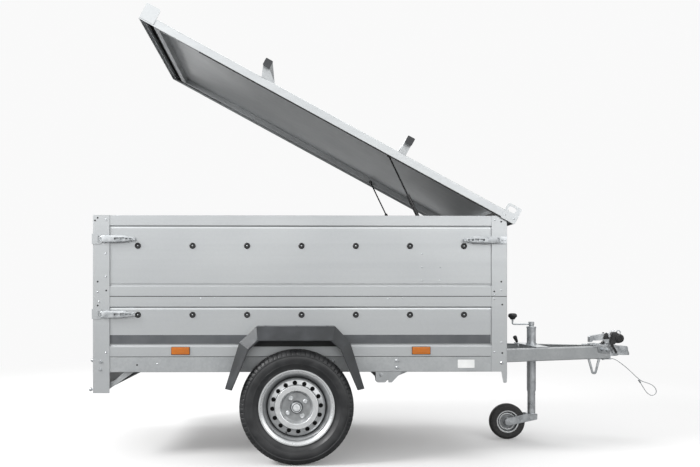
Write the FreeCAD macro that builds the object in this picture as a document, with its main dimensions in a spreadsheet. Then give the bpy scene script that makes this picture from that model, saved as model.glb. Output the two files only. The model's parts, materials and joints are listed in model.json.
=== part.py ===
import FreeCAD, Part
import math
import os
import Sketcher

# A single-axle box trailer, in millimetres: +X forward, +Z up, standing on the ground at Z = 0.
# X is counted from the rear of the load box and then shifted, so that the frame's origin is under
# the middle of the whole trailer. "right" is the -Y side and "left" is the +Y side.

SIZES = [
    # alias, value, what it is
    ("box_length", 2055, "load box, outside, rear to front"),
    ("box_width", 1100, "load box over the side boards"),
    ("board_low", 510, "underside of the lower boards above the ground"),
    ("lower_tall", 299, "lower boards"),
    ("upper_tall", 402, "upper boards"),
    ("board_thick", 25, "folded steel board, over its bands"),
    ("band_tall", 57, "pressed band along each long edge of a board"),
    ("band_step", 4, "how far the board's flat lies behind its bands"),
    ("step_rise", 7, "height of the sloping step between band and flat"),
    ("crease_deep", 1.5, "groove where band and flat meet, behind the flat"),
    ("crease_rise", 7, "height of that groove's slope on the flat's side"),
    ("fold_radius", 2.5, "rounded folds of the sheet"),
    ("seam_gap", 0.4, "gap between boards at the joint"),
    ("post_steel", 3, "corner post sheet"),
    ("rear_post_wide", 82, "rear corner post, seen from the side"),
    ("front_post_wide", 78, "front corner post, seen from the side"),
    ("post_return", 28, "post flange that covers the board's end"),
    ("rear_post_low", 331, "lower end of the rear posts"),
    ("tab_low", 378, "lower end of the tab under the front posts"),
    ("tab_wide", 29, "top of that tab"),
    ("beam_low", 434, "underside of the side beams"),
    ("beam_flange", 45, "side beam flange"),
    ("beam_steel", 3, "side beam sheet"),
    ("floor_low", 536, "underside of the plywood floor"),
    ("floor_thick", 9, "plywood floor"),
    ("cross_tall", 60, "floor cross member"),
    ("cross_wide", 40, "floor cross member"),
    ("gate_gap", 6, "gap between a tailgate and the side boards"),
    ("knuckle_radius", 8, "tailgate hinge knuckle"),
    ("gate_axis_back", 8, "lower tailgate's hinge axis behind the box"),
    ("gate_axis_drop", 12, "lower tailgate's hinge axis below the boards"),
    ("gate_pin_rise", 17, "upper tailgate's hinge pins above the joint of the boards"),
    ("gate_pin_in", 12.5, "upper tailgate's hinge pins ahead of the box's rear"),
    ("gate_pin", 4, "tailgate hinge pin radius"),
    ("gate_pin_deep", 16, "how far a side pin enters the upper tailgate"),
    ("hook_tall", 50, "tailgate hook plate that wraps round the corner"),
    ("upper_hook_drop", 143, "upper hook plate's lower edge below the box top"),
    ("lower_hook_drop", 111, "lower hook plate's lower edge below the joint of the boards"),
    ("latch_reach", 160, "toggle latch, lever root to lever tip"),
    ("hinge_axis_ahead", 7, "lid hinge axis ahead of the box"),
    ("hinge_axis_drop", 46, "lid hinge axis below the box top"),
    ("hinge_knuckle", 7, "lid hinge knuckle radius"),
    ("hinge_pin", 4, "lid hinge pin radius"),
    ("hinge_long", 120, "one lid hinge, over its three knuckles"),
    ("lid_angle", 28.44, "how far the lid stands open"),
    ("lid_overhang", 35, "lid beyond the rear of the box"),
    ("lid_ahead", 23, "lid hinge axis to the lid's front edge"),
    ("lid_side", 12, "lid beyond each side board"),
    ("lid_rise", 57, "lid hinge axis to the lid's top sheet"),
    ("skirt_tall", 38, "turned-down edge of the lid sheet"),
    ("lid_steel", 2, "lid sheet"),
    ("rail_wide", 20, "lid frame rail"),
    ("rail_tall", 29, "lid frame rail"),
    ("rail_inset", 6, "gap between a lid rail and the side board"),
    ("bar_size", 37, "square roof bar"),
    ("bar_rise", 112, "roof bar's underside above the lid hinge axis"),
    ("rear_bar_x", 610, "rear roof bar, lid closed"),
    ("front_bar_back", 645, "front roof bar behind the box front, lid closed"),
    ("strut_offset", 40, "gas strut's line inside the side board"),
    ("strut_radius", 9, "gas strut cylinder"),
    ("strut_rod_radius", 4, "gas strut rod"),
    ("strut_long", 335, "gas strut cylinder tube"),
    ("strut_pin", 5, "gas strut pin radius"),
    ("strut_foot_back", 343, "gas strut's lower pin behind the box front"),
    ("strut_foot_drop", 191, "gas strut's lower pin below the box top"),
    ("strut_head_back", 690, "gas strut's upper pin behind the lid hinge, lid closed"),
    ("strut_head_rise", 32, "gas strut's upper pin above the lid hinge, lid closed"),
    ("strut_rod_long", 350, "gas strut rod, to its eye"),
    ("wheel_x", 1005, "wheel centre"),
    ("wheel_out", 88, "middle of the tyre outside the side board"),
    ("tyre_radius", 277, "tyre"),
    ("tyre_width", 150, "tyre at its widest"),
    ("bead_radius", 165, "rim seat for the tyre"),
    ("flange_radius", 182.5, "rim edge"),
    ("rim_half", 63, "half the rim's width, over its edges"),
    ("well_radius", 149, "drop centre of the rim"),
    ("rim_steel", 4, "wheel sheet"),
    ("vent_radius", 11, "round holes in the wheel disc"),
    ("vent_circle", 117, "radius of the circle of round holes"),
    ("vent_count", 16, "round holes"),
    ("vent_start", 4, "angle of the first round hole above the horizontal"),
    ("bolt_circle", 50, "radius of the circle of wheel bolts"),
    ("bolt_hole", 7, "wheel bolt hole radius"),
    ("bolt_count", 4, "wheel bolts"),
    ("bolt_start", 33, "angle of the first wheel bolt above the horizontal"),
    ("stub_radius", 17, "stub axle"),
    ("running_gap", 0.05, "clearance of a shaft in its hole"),
    ("axle_ahead", 140, "axle beam ahead of the wheel centre"),
    ("axle_rise", 80, "axle beam above the wheel centre"),
    ("axle_size", 70, "square axle beam"),
    ("axle_wall", 5, "axle beam wall"),
    ("guard_flat", 115, "flat top of a mudguard, outside the side board"),
    ("guard_out", 175, "outer lip of a mudguard outside the side board"),
    ("guard_steel", 4, "mudguard wall"),
    ("stop_back", 22, "gate stops behind the box"),
    ("beam_tall", 70, "drawbar beam height"),
    ("drawbar_low", 458, "underside of the drawbar beams"),
    ("drawbar_wide", 40, "drawbar beam width"),
    ("drawbar_wall", 3, "drawbar beam wall"),
    ("drawbar_back", 448, "rear end of the drawbar beams behind the box front"),
    ("drawbar_ahead", 715, "front end of the drawbar beams ahead of the box front"),
    ("drawbar_inset", 60, "rear end of the drawbar beams inside the side board"),
    ("drawbar_tip", 49, "outer face of the beams at their front end, from the centre line"),
    ("pivot_ahead", 421, "tipping axis ahead of the wheel centre"),
    ("pivot_z", 408, "tipping axis above the ground"),
    ("pivot_radius", 20, "pivot tube"),
    ("jack_ahead", 285, "jockey leg ahead of the box front"),
    ("jack_radius", 25, "jockey leg outer tube"),
    ("jack_wall", 3, "jockey leg tube wall"),
    ("jack_top", 637, "top of the outer tube"),
    ("jack_bottom", 272, "lower end of the outer tube"),
    ("jack_foot", 146, "lower end of the inner tube"),
    ("jack_inner_long", 330, "inner tube"),
    ("crank_reach", 107, "crank arm"),
    ("crank_radius", 5, "crank rod"),
    ("jockey_trail", 140, "jockey wheel axle behind the leg"),
    ("jockey_radius", 100, "jockey wheel"),
    ("jockey_width", 50, "jockey wheel"),
    ("nose_ahead", 841, "front end of the coupling ahead of the box front"),
    ("socket_radius", 25.2, "coupling socket for a 50 mm ball"),
    ("ball_back", 44, "ball's centre behind the coupling's front end"),
    ("cable_radius", 2, "breakaway cable"),
]

doc = FreeCAD.newDocument("utility_trailer")
sheet = doc.addObject("Spreadsheet::Sheet", "Sizes")


class Size:
    """A size with its value and the sheet expression that it comes from."""

    def __init__(self, value, text):
        self.value = float(value)
        self.text = text

    def __float__(self):
        return self.value

    def __add__(self, other):
        other = sized(other)
        return Size(self.value + other.value, f"({self.text} + {other.text})")

    def __sub__(self, other):
        other = sized(other)
        return Size(self.value - other.value, f"({self.text} - {other.text})")

    def __mul__(self, other):
        other = sized(other)
        return Size(self.value * other.value, f"({self.text} * {other.text})")

    def __truediv__(self, other):
        other = sized(other)
        return Size(self.value / other.value, f"({self.text} / {other.text})")

    def __neg__(self):
        return Size(-self.value, f"(0 - {self.text})")

    def __radd__(self, other):
        return sized(other) + self

    def __rsub__(self, other):
        return sized(other) - self

    def __rmul__(self, other):
        return sized(other) * self


def sized(value):
    return value if isinstance(value, Size) else Size(value, repr(float(value)))


def root(value):
    return Size(math.sqrt(float(value)), f"sqrt({sized(value).text})")


def bearing(slope):
    """The angle in degrees whose tangent is a slope."""
    return Size(math.degrees(math.atan(float(slope))), f"atan({sized(slope).text})")


class Sizes:
    pass


S = Sizes()
row = 0


def store(alias, value):
    """Write a plain number into the sheet and keep it as S.alias."""
    global row
    row += 1
    sheet.set(f"A{row}", alias)
    sheet.set(f"B{row}", repr(float(value)))
    sheet.setAlias(f"B{row}", alias)
    setattr(S, alias, Size(value, f"Sizes.{alias}"))


for alias, value, note in SIZES:
    store(alias, value)
store("origin_x", float(S.box_length + S.nose_ahead - S.stop_back) / 2)
doc.recompute()

FINAL = []      # the sub-parts, in the order in which they are made
TURN = {"x": FreeCAD.Vector(1, 0, 0), "y": FreeCAD.Vector(0, 1, 0), "z": FreeCAD.Vector(0, 0, 1)}
NORMAL = {"XY": "z", "XZ": "y", "YZ": "x"}      # the axis that a sketch plane faces


def set_size(obj, prop, value):
    obj.setExpression(prop, sized(value).text)


def place(obj, x=0, y=0, z=0, turn="z", angle=0):
    """Bind an object's place, and its turn about one axis."""
    obj.Placement = FreeCAD.Placement(
        FreeCAD.Vector(float(x), float(y), float(z)), FreeCAD.Rotation(TURN[turn], float(angle)))
    for axis, value in (("x", x), ("y", y), ("z", z)):
        set_size(obj, f".Placement.Base.{axis}", value)
    if isinstance(angle, Size):
        set_size(obj, ".Placement.Rotation.Angle", angle)
    return obj


def part(obj, label):
    """Name a finished sub-part."""
    obj.Label = label
    FINAL.append(obj)
    return obj


def from_rear(x):
    return sized(x) - S.origin_x


def box(x_low, x_high, y_low, y_high, z_low, z_high, shift=True):
    """A block between two corners; with shift, x is counted from the rear of the box."""
    obj = doc.addObject("Part::Box", "block")
    set_size(obj, "Length", sized(x_high) - x_low)
    set_size(obj, "Width", sized(y_high) - y_low)
    set_size(obj, "Height", sized(z_high) - z_low)
    return place(obj, from_rear(x_low) if shift else x_low, y_low, z_low)


def rod(x, y, z, radius, length, along="z", shift=True):
    """A cylinder that starts at a point and runs along an axis."""
    obj = doc.addObject("Part::Cylinder", "rod")
    set_size(obj, "Radius", radius)
    set_size(obj, "Height", length)
    turn, angle = {"z": ("z", 0), "x": ("y", 90), "y": ("x", -90)}[along]
    return place(obj, from_rear(x) if shift else x, y, z, turn, angle)


def ball(x, y, z, radius):
    obj = doc.addObject("Part::Sphere", "ball")
    set_size(obj, "Radius", radius)
    return place(obj, from_rear(x), y, z)


def fuse(*pieces):
    obj = doc.addObject("Part::MultiFuse", "joined")
    obj.Shapes = list(pieces)
    obj.Refine = True
    return obj


def cut(base, *tools):
    obj = doc.addObject("Part::Cut", "cut")
    obj.Base = base
    obj.Tool = tools[0] if len(tools) == 1 else fuse(*tools)
    return obj


def common(one, other):
    obj = doc.addObject("Part::MultiCommon", "common")
    obj.Shapes = [one, other]
    return obj


def group(*pieces):
    obj = doc.addObject("Part::Compound", "group")
    obj.Links = list(pieces)
    return obj


def mirrored(piece):
    """The same piece on the other side of the trailer."""
    obj = doc.addObject("Part::Mirroring", "mirrored")
    obj.Source = piece
    obj.Base = FreeCAD.Vector(0, 0, 0)
    obj.Normal = FreeCAD.Vector(0, 1, 0)
    return obj


def both(piece, label):
    """A piece and its twin on the other side, as one sub-part."""
    return part(group(piece, mirrored(piece)), label)


def origin_feature(body, role):
    return next(item for item in body.Origin.OriginFeatures if item.Role == role)


def bind(sketch, kind, where, value):
    """Tie a place or a radius in a sketch to the sheet."""
    item = sketch.addConstraint(Sketcher.Constraint(kind, *where, float(value)))
    sketch.setExpression(f"Constraints[{item}]", sized(value).text)


def outline(body, plane, points, circles=()):
    """A sketch of a closed outline and circles, whose corners and centres are bound to the sheet."""
    sketch = body.newObject("Sketcher::SketchObject", "outline")
    sketch.AttachmentSupport = [(origin_feature(body, plane + "_Plane"), "")]
    sketch.MapMode = "FlatFace"
    corners = [FreeCAD.Vector(float(point[0]), float(point[1]), 0) for point in points]
    count = len(corners)
    for i in range(count):
        sketch.addGeometry(Part.LineSegment(corners[i], corners[(i + 1) % count]), False)
    for i in range(count):
        sketch.addConstraint(Sketcher.Constraint("Coincident", i, 2, (i + 1) % count, 1))
        bind(sketch, "DistanceX", (-1, 1, i, 1), points[i][0])
        bind(sketch, "DistanceY", (-1, 1, i, 1), points[i][1])
    for u, v, radius in circles:
        centre = FreeCAD.Vector(float(u), float(v), 0)
        ring = sketch.addGeometry(Part.Circle(centre, TURN["z"], float(radius)), False)
        bind(sketch, "DistanceX", (-1, 1, ring, 3), u)
        bind(sketch, "DistanceY", (-1, 1, ring, 3), v)
        bind(sketch, "Radius", (ring,), radius)
    return sketch


def round_corners(body, points, meets):
    """Round the edges that meets(edge, u, v) finds at each point with a third value, its radius."""
    radii = {}
    for point in points:
        if len(point) > 2:
            radii.setdefault(sized(point[2]).text, []).append(point)
    for places in radii.values():
        doc.recompute()
        base = body.Tip
        names = [f"Edge{i + 1}" for i, edge in enumerate(base.Shape.Edges)
                 if any(meets(edge, float(u), float(v)) for u, v, radius in places)]
        if len(names) < len(places):
            raise RuntimeError(f"{len(places)} corners to round and {len(names)} edges found")
        fillet = body.newObject("PartDesign::Fillet", "round")
        fillet.Base = (base, names)
        set_size(fillet, "Radius", places[0][2])
        body.Tip = fillet
    return body


def slab(plane, points, low, high, circles=(), shift=True):
    """A pad of an outline in plane XY, XZ or YZ, between two places on the third axis."""
    body = doc.addObject("PartDesign::Body", "slab")
    pad = body.newObject("PartDesign::Pad", "pad")
    pad.Profile = outline(body, plane, points, circles)
    set_size(pad, "Length", sized(high) - low)
    axis = NORMAL[plane]

    def meets(edge, u, v):
        if edge.Curve.TypeId != "Part::GeomLine" or abs(getattr(edge.Curve.Direction, axis)) < 0.9999:
            return False
        flat = [getattr(edge.CenterOfMass, name) for name in "xyz" if name != axis]
        return math.hypot(flat[0] - u, flat[1] - v) < 0.01

    round_corners(body, points, meets)
    base_x = from_rear(0) if shift else 0
    if plane == "XY":
        place(body, base_x, 0, low)
    elif plane == "XZ":
        place(body, base_x, high, 0)
    else:
        place(body, from_rear(low) if shift else low, 0, 0)
    return body


def funnel(points, far_points, low, high):
    """A ruled loft from an outline in XZ at y = high to one with as many corners at y = low."""
    body = doc.addObject("PartDesign::Body", "funnel")
    loft = body.newObject("PartDesign::AdditiveLoft", "loft")
    loft.Profile = outline(body, "XZ", points)
    far = outline(body, "XZ", far_points)
    far.AttachmentOffset = FreeCAD.Placement(FreeCAD.Vector(0, 0, float(high) - float(low)),
                                             FreeCAD.Rotation())
    set_size(far, ".AttachmentOffset.Base.z", sized(high) - low)
    loft.Sections = [far]
    loft.Ruled = True
    body.Tip = loft
    return place(body, from_rear(0), high, 0)


def turned(points):
    """A solid of revolution about its own Z axis; points are (radius, height)."""
    body = doc.addObject("PartDesign::Body", "turned")
    sketch = outline(body, "XZ", points)
    spin = body.newObject("PartDesign::Revolution", "spin")
    spin.Profile = sketch
    spin.ReferenceAxis = (sketch, ["V_Axis"])
    spin.Angle = 360

    def meets(edge, u, v):
        curve = edge.Curve
        return (curve.TypeId == "Part::GeomCircle" and abs(curve.Radius - u) < 0.01
                and abs(curve.Center.z - v) < 0.01)

    return round_corners(body, points, meets)


def hole_ring(body, radius, circle, count, start=0):
    """Holes round a turned body's axis, by a pocket and a polar pattern."""
    doc.recompute()
    turn = math.radians(float(start))
    pocket = body.newObject("PartDesign::Pocket", "hole")
    sketch = outline(body, "XY", [], [(circle * math.cos(turn), circle * math.sin(turn), radius)])
    pocket.Profile = sketch
    pocket.Type = 1
    pocket.Midplane = True
    pattern = body.newObject("PartDesign::PolarPattern", "hole_ring")
    pattern.Originals = [pocket]
    pattern.Axis = (sketch, ["N_Axis"])
    pattern.Angle = 360
    set_size(pattern, "Occurrences", count)
    body.Tip = pattern
    return body


half_width = S.box_width / 2
inner_half = half_width - S.board_thick
skin = half_width + S.post_steel        # outer face of the posts
seam = S.board_low + S.lower_tall
box_top = seam + S.upper_tall
lower_top = seam - S.seam_gap / 2
upper_low = seam + S.seam_gap / 2


# ---- boards -------------------------------------------------------------------------------------

def board_section(low, high):
    """(depth behind the outer face, height, radius) of a board with a pressed band along each edge."""
    return [
        (0, low, S.fold_radius),
        (0, low + S.band_tall - S.step_rise, S.fold_radius),
        (S.band_step + S.crease_deep, low + S.band_tall, S.fold_radius),
        (S.band_step, low + S.band_tall + S.crease_rise, S.fold_radius),
        (S.band_step, high - S.band_tall - S.crease_rise, S.fold_radius),
        (S.band_step + S.crease_deep, high - S.band_tall, S.fold_radius),
        (0, high - S.band_tall + S.step_rise, S.fold_radius),
        (0, high, S.fold_radius),
        (S.board_thick, high, S.fold_radius),
        (S.board_thick, low, S.fold_radius),
    ]


def side_board(label, low, high, pin=None):
    section = [(depth - half_width, height, radius) for depth, height, radius in board_section(low, high)]
    right = slab("YZ", section, S.post_steel, S.box_length - S.post_steel)
    if pin:
        right = fuse(right, pin)
    part(right, label + "_right")
    part(mirrored(right), label + "_left")


def front_board(low, high):
    face = S.box_length - S.post_steel
    section = [(face - depth, height, radius) for depth, height, radius in board_section(low, high)]
    return slab("XZ", section, -inner_half, inner_half)


upper_gate_axis = seam + S.gate_pin_rise
pin_root = 2        # how far a pin is let into the piece that carries it
side_board("lower_side", S.board_low, lower_top)
side_board("upper_side", upper_low, box_top,
           rod(S.gate_pin_in, -inner_half - pin_root, upper_gate_axis, S.gate_pin,
               pin_root + S.gate_gap + S.gate_pin_deep - 1, "y"))
part(front_board(S.floor_low, lower_top), "front_lower_panel")

# Lid hinge: two fixed knuckles and a pin a side on the front board, one lid knuckle between them.
hinge_x = S.box_length + S.hinge_axis_ahead
hinge_z = box_top - S.hinge_axis_drop
hinge_third = S.hinge_long / 3
hinge_starts = [-half_width + 130, half_width - 130 - S.hinge_long]
leaf_low = hinge_z - 45
hinge_pieces = [front_board(upper_low, box_top - S.gate_gap)]
for start in hinge_starts:
    for low in (start, start + 2 * hinge_third):
        hinge_pieces.append(rod(hinge_x, low, hinge_z, S.hinge_knuckle, hinge_third, "y"))
        hinge_pieces.append(slab("XZ", [
            (S.box_length - S.post_steel, leaf_low), (S.box_length, leaf_low),
            (S.box_length + S.post_steel, hinge_z), (S.box_length - S.post_steel, hinge_z),
        ], low, low + hinge_third))
    hinge_pieces.append(rod(hinge_x, start, hinge_z, S.hinge_pin, S.hinge_long, "y"))
part(fuse(*hinge_pieces), "front_upper_panel")


# ---- corner posts -------------------------------------------------------------------------------

def post(x_edge, wide, direction, low, high):
    """A right-hand corner post, an angle that covers the board's outer face and its end."""
    return slab("XY", [
        (x_edge, -skin, S.post_steel + 1),
        (x_edge + direction * wide, -skin),
        (x_edge + direction * wide, -half_width),
        (x_edge + direction * S.post_steel, -half_width),
        (x_edge + direction * S.post_steel, S.post_return - half_width),
        (x_edge, S.post_return - half_width),
    ], low, high)


rear = sized(0)
tab_tip = 17
front_tab = slab("XZ", [
    (S.box_length - S.tab_wide, S.beam_low), (S.box_length, S.beam_low),
    (S.box_length - 2, S.tab_low, 7), (S.box_length - 2 - tab_tip, S.tab_low, 7),
], -skin, -half_width)
rear_lower_post = post(rear, S.rear_post_wide, 1, S.rear_post_low, lower_top)
front_lower_post = fuse(post(S.box_length, S.front_post_wide, -1, S.beam_low, lower_top), front_tab)
rear_upper_post = post(rear, S.rear_post_wide, 1, upper_low, box_top)
front_upper_post = post(S.box_length, S.front_post_wide, -1, upper_low, box_top)
part(group(rear_lower_post, front_lower_post, mirrored(rear_lower_post), mirrored(front_lower_post)),
     "lower_posts")
part(group(rear_upper_post, front_upper_post, mirrored(rear_upper_post), mirrored(front_upper_post)),
     "upper_posts")


# ---- frame and floor ----------------------------------------------------------------------------

flange_tip = half_width - S.beam_flange
side_beam = slab("YZ", [
    (-half_width, S.beam_low, S.fold_radius),
    (-flange_tip, S.beam_low),
    (-flange_tip, S.beam_low + S.beam_steel),
    (S.beam_steel - half_width, S.beam_low + S.beam_steel),
    (S.beam_steel - half_width, S.board_low - S.beam_steel),
    (-flange_tip, S.board_low - S.beam_steel),
    (-flange_tip, S.board_low),
    (-half_width, S.board_low, S.fold_radius),
], S.post_steel, S.box_length - S.post_steel)
both(side_beam, "side_beams")


def cross_channel(start):
    """A floor cross member, an inverted channel that starts at a place along the box."""
    low = S.floor_low - S.cross_tall
    end = start + S.cross_wide
    return slab("XZ", [
        (start, low),
        (start + S.beam_steel, low),
        (start + S.beam_steel, S.floor_low - S.beam_steel),
        (end - S.beam_steel, S.floor_low - S.beam_steel),
        (end - S.beam_steel, low),
        (end, low),
        (end, S.floor_low, S.fold_radius),
        (start, S.floor_low, S.fold_radius),
    ], -flange_tip, flange_tip)


CROSS_SHARE = (0.015, 0.229, 0.438, 0.637)      # places of the cross members along the box
sill_low = S.drawbar_low + S.beam_tall + 0.3    # the front sill clears the drawbar's top
front_sill = box(S.box_length - 60, S.box_length - S.post_steel, -inner_half, inner_half,
                 sill_low, S.floor_low)
part(group(*[cross_channel(S.box_length * share) for share in CROSS_SHARE], front_sill),
     "cross_members")
floor_front = S.box_length - S.post_steel - S.board_thick
part(box(S.post_steel + S.board_thick, floor_front, -inner_half, inner_half,
         S.floor_low, S.floor_low + S.floor_thick), "floor_board")


# ---- tailgates ----------------------------------------------------------------------------------

gate_half = inner_half - S.gate_gap
hook_steel = 3
hook_reach = 45         # hook plate along the box's side
lug_x = 22              # hook lug on it


def hook_plate(side, low):
    """The plate that a tailgate's latch pulls on: across the gate's end, round the corner."""
    high = low + S.hook_tall
    face = side * (skin + 1)
    outer = side * (skin + 1 + hook_steel)
    lug = side * (skin + 1 + hook_steel + 6)
    ends = sorted((side * (gate_half - 20), outer), key=float)
    wrap = sorted((face, outer), key=float)
    raised = sorted((face, lug), key=float)
    plate = slab("YZ", [
        (ends[0], low, 4), (ends[1], low), (ends[1], high), (ends[0], high, 4),
    ], -4, -1)
    cheek = slab("XZ", [
        (-4, low), (hook_reach, low, 10), (hook_reach, high, 10), (-4, high),
    ], wrap[0], wrap[1])
    hook = slab("XZ", [
        (lug_x, low + 10), (lug_x + 8, low + 10), (lug_x + 5, low + 14), (lug_x + 5, high - 14),
        (lug_x + 8, high - 10), (lug_x, high - 10),
    ], raised[0], raised[1])
    foot_ends = sorted((side * gate_half, side * (gate_half - 20)), key=float)
    foot = box(-2, 10, foot_ends[0], foot_ends[1], low, high)
    return [plate, cheek, hook, foot]


def gate(low, high, hook_low):
    """A rear board with a hook plate round each side."""
    section = board_section(low, high)
    return [slab("XZ", section, -gate_half, gate_half), *hook_plate(-1, hook_low),
            *hook_plate(1, hook_low)]


# The lower gate turns on three knuckles behind the rear sill.
lower_gate_axis = S.board_low - S.gate_axis_drop
knuckle_long = 38
fixed_long = 28
knuckle_gap = 2
lower_hook = seam - S.lower_hook_drop
lower_gate = gate(S.board_low + 2, seam - S.gate_gap, lower_hook)
sill_pieces = [slab("YZ", [
    (-flange_tip, S.beam_low), (flange_tip, S.beam_low), (flange_tip, S.board_low - S.beam_steel),
    (-flange_tip, S.board_low - S.beam_steel),
], S.post_steel, S.post_steel + S.beam_steel)]
for y in (90 - gate_half, sized(-knuckle_long / 2), gate_half - 90 - knuckle_long):
    leaf = slab("XZ", [
        (-S.gate_axis_back - 4, lower_gate_axis + 4), (-S.gate_axis_back + 4, lower_gate_axis),
        (2, S.board_low + 4), (2, S.board_low + 50), (-2, S.board_low + 50), (-2, S.board_low + 8),
    ], y, y + knuckle_long)
    lower_gate.append(cut(
        fuse(rod(-S.gate_axis_back, y, lower_gate_axis, S.knuckle_radius, knuckle_long, "y"), leaf),
        rod(-S.gate_axis_back, y, lower_gate_axis, S.gate_pin + S.running_gap, knuckle_long, "y")))
    low_end = y - fixed_long - knuckle_gap
    high_end = y + knuckle_long + knuckle_gap
    for start in (low_end, high_end):
        sill_pieces.append(rod(-S.gate_axis_back, start, lower_gate_axis, S.knuckle_radius,
                               fixed_long, "y"))
        sill_pieces.append(slab("XZ", [
            (-S.gate_axis_back, lower_gate_axis - 6), (S.post_steel, lower_gate_axis - 45),
            (S.post_steel + 1, lower_gate_axis - 45), (S.post_steel + 1, lower_gate_axis - 3),
            (-S.gate_axis_back, lower_gate_axis - 2),
        ], start, start + fixed_long))
    sill_pieces.append(rod(-S.gate_axis_back, low_end, lower_gate_axis, S.gate_pin,
                           high_end + fixed_long - low_end, "y"))
part(fuse(*lower_gate), "rear_lower_gate")
part(fuse(*sill_pieces), "rear_sill")

# The upper gate turns on a pin in each side board.
upper_hook = box_top - S.upper_hook_drop
upper_gate = fuse(*gate(seam + 4, box_top - S.gate_gap, upper_hook))
part(cut(upper_gate, *[
    rod(S.gate_pin_in, low_y, upper_gate_axis, S.gate_pin + S.running_gap, S.gate_pin_deep, "y")
    for low_y in (-gate_half, gate_half - S.gate_pin_deep)]), "rear_upper_gate")


# ---- side fittings ------------------------------------------------------------------------------

base_steel = 3
lever_deep = 14
flat_y = half_width - S.band_step       # outer face of a board's flat


def latch(x, way, height):
    """A right-hand toggle latch whose lever runs from a root at x, with its bail towards the hook."""
    def along(distance):
        return x + way * distance

    def rounded(points, low, high):
        return slab("XZ", [(along(point[0]), height + point[1], *point[2:]) for point in points], low, high)

    tip = S.latch_reach
    base = rounded([(0, -18, 5), (tip - 50, -18, 5), (tip - 50, 18, 5), (0, 18, 5)],
                   -skin - base_steel, -skin)
    packer = rounded([(32, -14), (tip - 56, -14), (tip - 56, 14), (32, 14)], -skin, -flat_y)
    lever_out = -skin - base_steel - lever_deep
    lever = cut(
        rounded([(-6, -15, 5), (60, -17, 30), (tip - 14, -8, 8), (tip, -4, 3), (tip, 4, 3),
                 (tip - 14, 8, 8), (60, 17, 30), (-6, 15, 5)], lever_out, -skin - base_steel),
        rounded([(8, -12), (60, -13), (tip - 30, -6), (tip - 30, 6), (60, 13), (8, 12)],
                lever_out - 1, lever_out + lever_deep - 4),
    )
    bail_y = lever_out + 5
    bail_ahead = 13
    bail_long = bail_ahead + 5
    bail = [rod(along(-bail_ahead) if way > 0 else along(5), bail_y, height + rise, 3, bail_long, "x")
            for rise in (-15, 15)]
    cross = rod(along(-bail_ahead), bail_y, height - 15, 3, 30)
    return fuse(base, packer, lever, *bail, cross)


LATCHES = [
    # root of the lever, direction of its tip, height
    (sized(52), 1, upper_hook + S.hook_tall / 2),
    (sized(52), 1, lower_hook + S.hook_tall / 2 - 3),
    (S.box_length - 60, -1, upper_hook + 21),
]
latch_pieces = [latch(*row) for row in LATCHES]
part(group(*latch_pieces, *[mirrored(piece) for piece in latch_pieces]), "side_latches")

MARKERS = (sized(385), S.box_length - 476)      # rear ends of the side markers
marker_long = 93
marker_pieces = []
for low_x in MARKERS:
    lens = slab("XZ", [
        (low_x, S.board_low + 10, 4), (low_x + marker_long, S.board_low + 10, 4),
        (low_x + marker_long, S.board_low + 50, 4), (low_x, S.board_low + 50, 4),
    ], -half_width - 9, -half_width)
    marker_pieces += [lens, mirrored(lens)]
part(group(*marker_pieces), "side_markers")

strut_y = inner_half - S.strut_offset
strut_foot_x = S.box_length - S.strut_foot_back
strut_foot_z = box_top - S.strut_foot_drop
plate_low = strut_foot_z - 140
strut_plate = fuse(
    slab("XZ", [
        (strut_foot_x - 90, plate_low, 6), (strut_foot_x + 20, plate_low, 6),
        (strut_foot_x + 20, strut_foot_z + 20, 16), (strut_foot_x - 20, strut_foot_z + 20, 10),
        (strut_foot_x - 90, strut_foot_z - 60, 10),
    ], 6 - inner_half, 10 - inner_half),
    box(strut_foot_x - 80, strut_foot_x + 10, -inner_half, 6 - inner_half, plate_low, plate_low + 20),
    rod(strut_foot_x, -inner_half, strut_foot_z, S.strut_pin, S.strut_offset + 5, "y"),
)
both(strut_plate, "strut_brackets")


# ---- axle and wheels ----------------------------------------------------------------------------

axle_x = S.wheel_x + S.axle_ahead
axle_z = S.tyre_radius + S.axle_rise
half_axle = S.axle_size / 2
arm_inner = half_width - 25
arm_outer = half_width - 5


def square(half, radius):
    """A rounded square round the axle's centre."""
    return [(axle_x - half, axle_z - half, radius), (axle_x + half, axle_z - half, radius),
            (axle_x + half, axle_z + half, radius), (axle_x - half, axle_z + half, radius)]


axle_tube = cut(slab("XZ", square(half_axle, 9), -arm_inner, arm_inner),
                slab("XZ", square(half_axle - S.axle_wall, 4), -arm_inner, arm_inner))
saddles = [slab("XZ", [
    (axle_x - 46, axle_z + half_axle), (axle_x + 46, axle_z + half_axle),
    (axle_x + 60, S.beam_low), (axle_x - 60, S.beam_low),
], low, low + 45) for low in (5 - half_width, half_width - 50)]
part(fuse(axle_tube, *saddles), "axle_beam")


def capsule(x_start, z_start, x_end, z_end, radius):
    """Corners of a bar with round ends between two centres."""
    long_x = x_end - x_start
    long_z = z_end - z_start
    full = root(long_x * long_x + long_z * long_z)
    way_x = long_x / full * radius
    way_z = long_z / full * radius
    almost = radius - 0.5       # two equal rounds can't share a whole end
    return [
        (x_start - way_x - way_z, z_start - way_z + way_x, almost),
        (x_start - way_x + way_z, z_start - way_z - way_x, almost),
        (x_end + way_x + way_z, z_end + way_z - way_x, almost),
        (x_end + way_x - way_z, z_end + way_z + way_x, almost),
    ]


boss = 34
arm = fuse(
    slab("XZ", capsule(S.wheel_x, S.tyre_radius, axle_x, axle_z, sized(boss)), -arm_outer, -arm_inner),
    rod(S.wheel_x, -arm_outer - 6, S.tyre_radius, boss - 6, 10, "y"),
    rod(S.wheel_x, -half_width - S.wheel_out - 20, S.tyre_radius, S.stub_radius,
        S.wheel_out + 20 + 25, "y"),
)
both(arm, "swing_arms")

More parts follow.
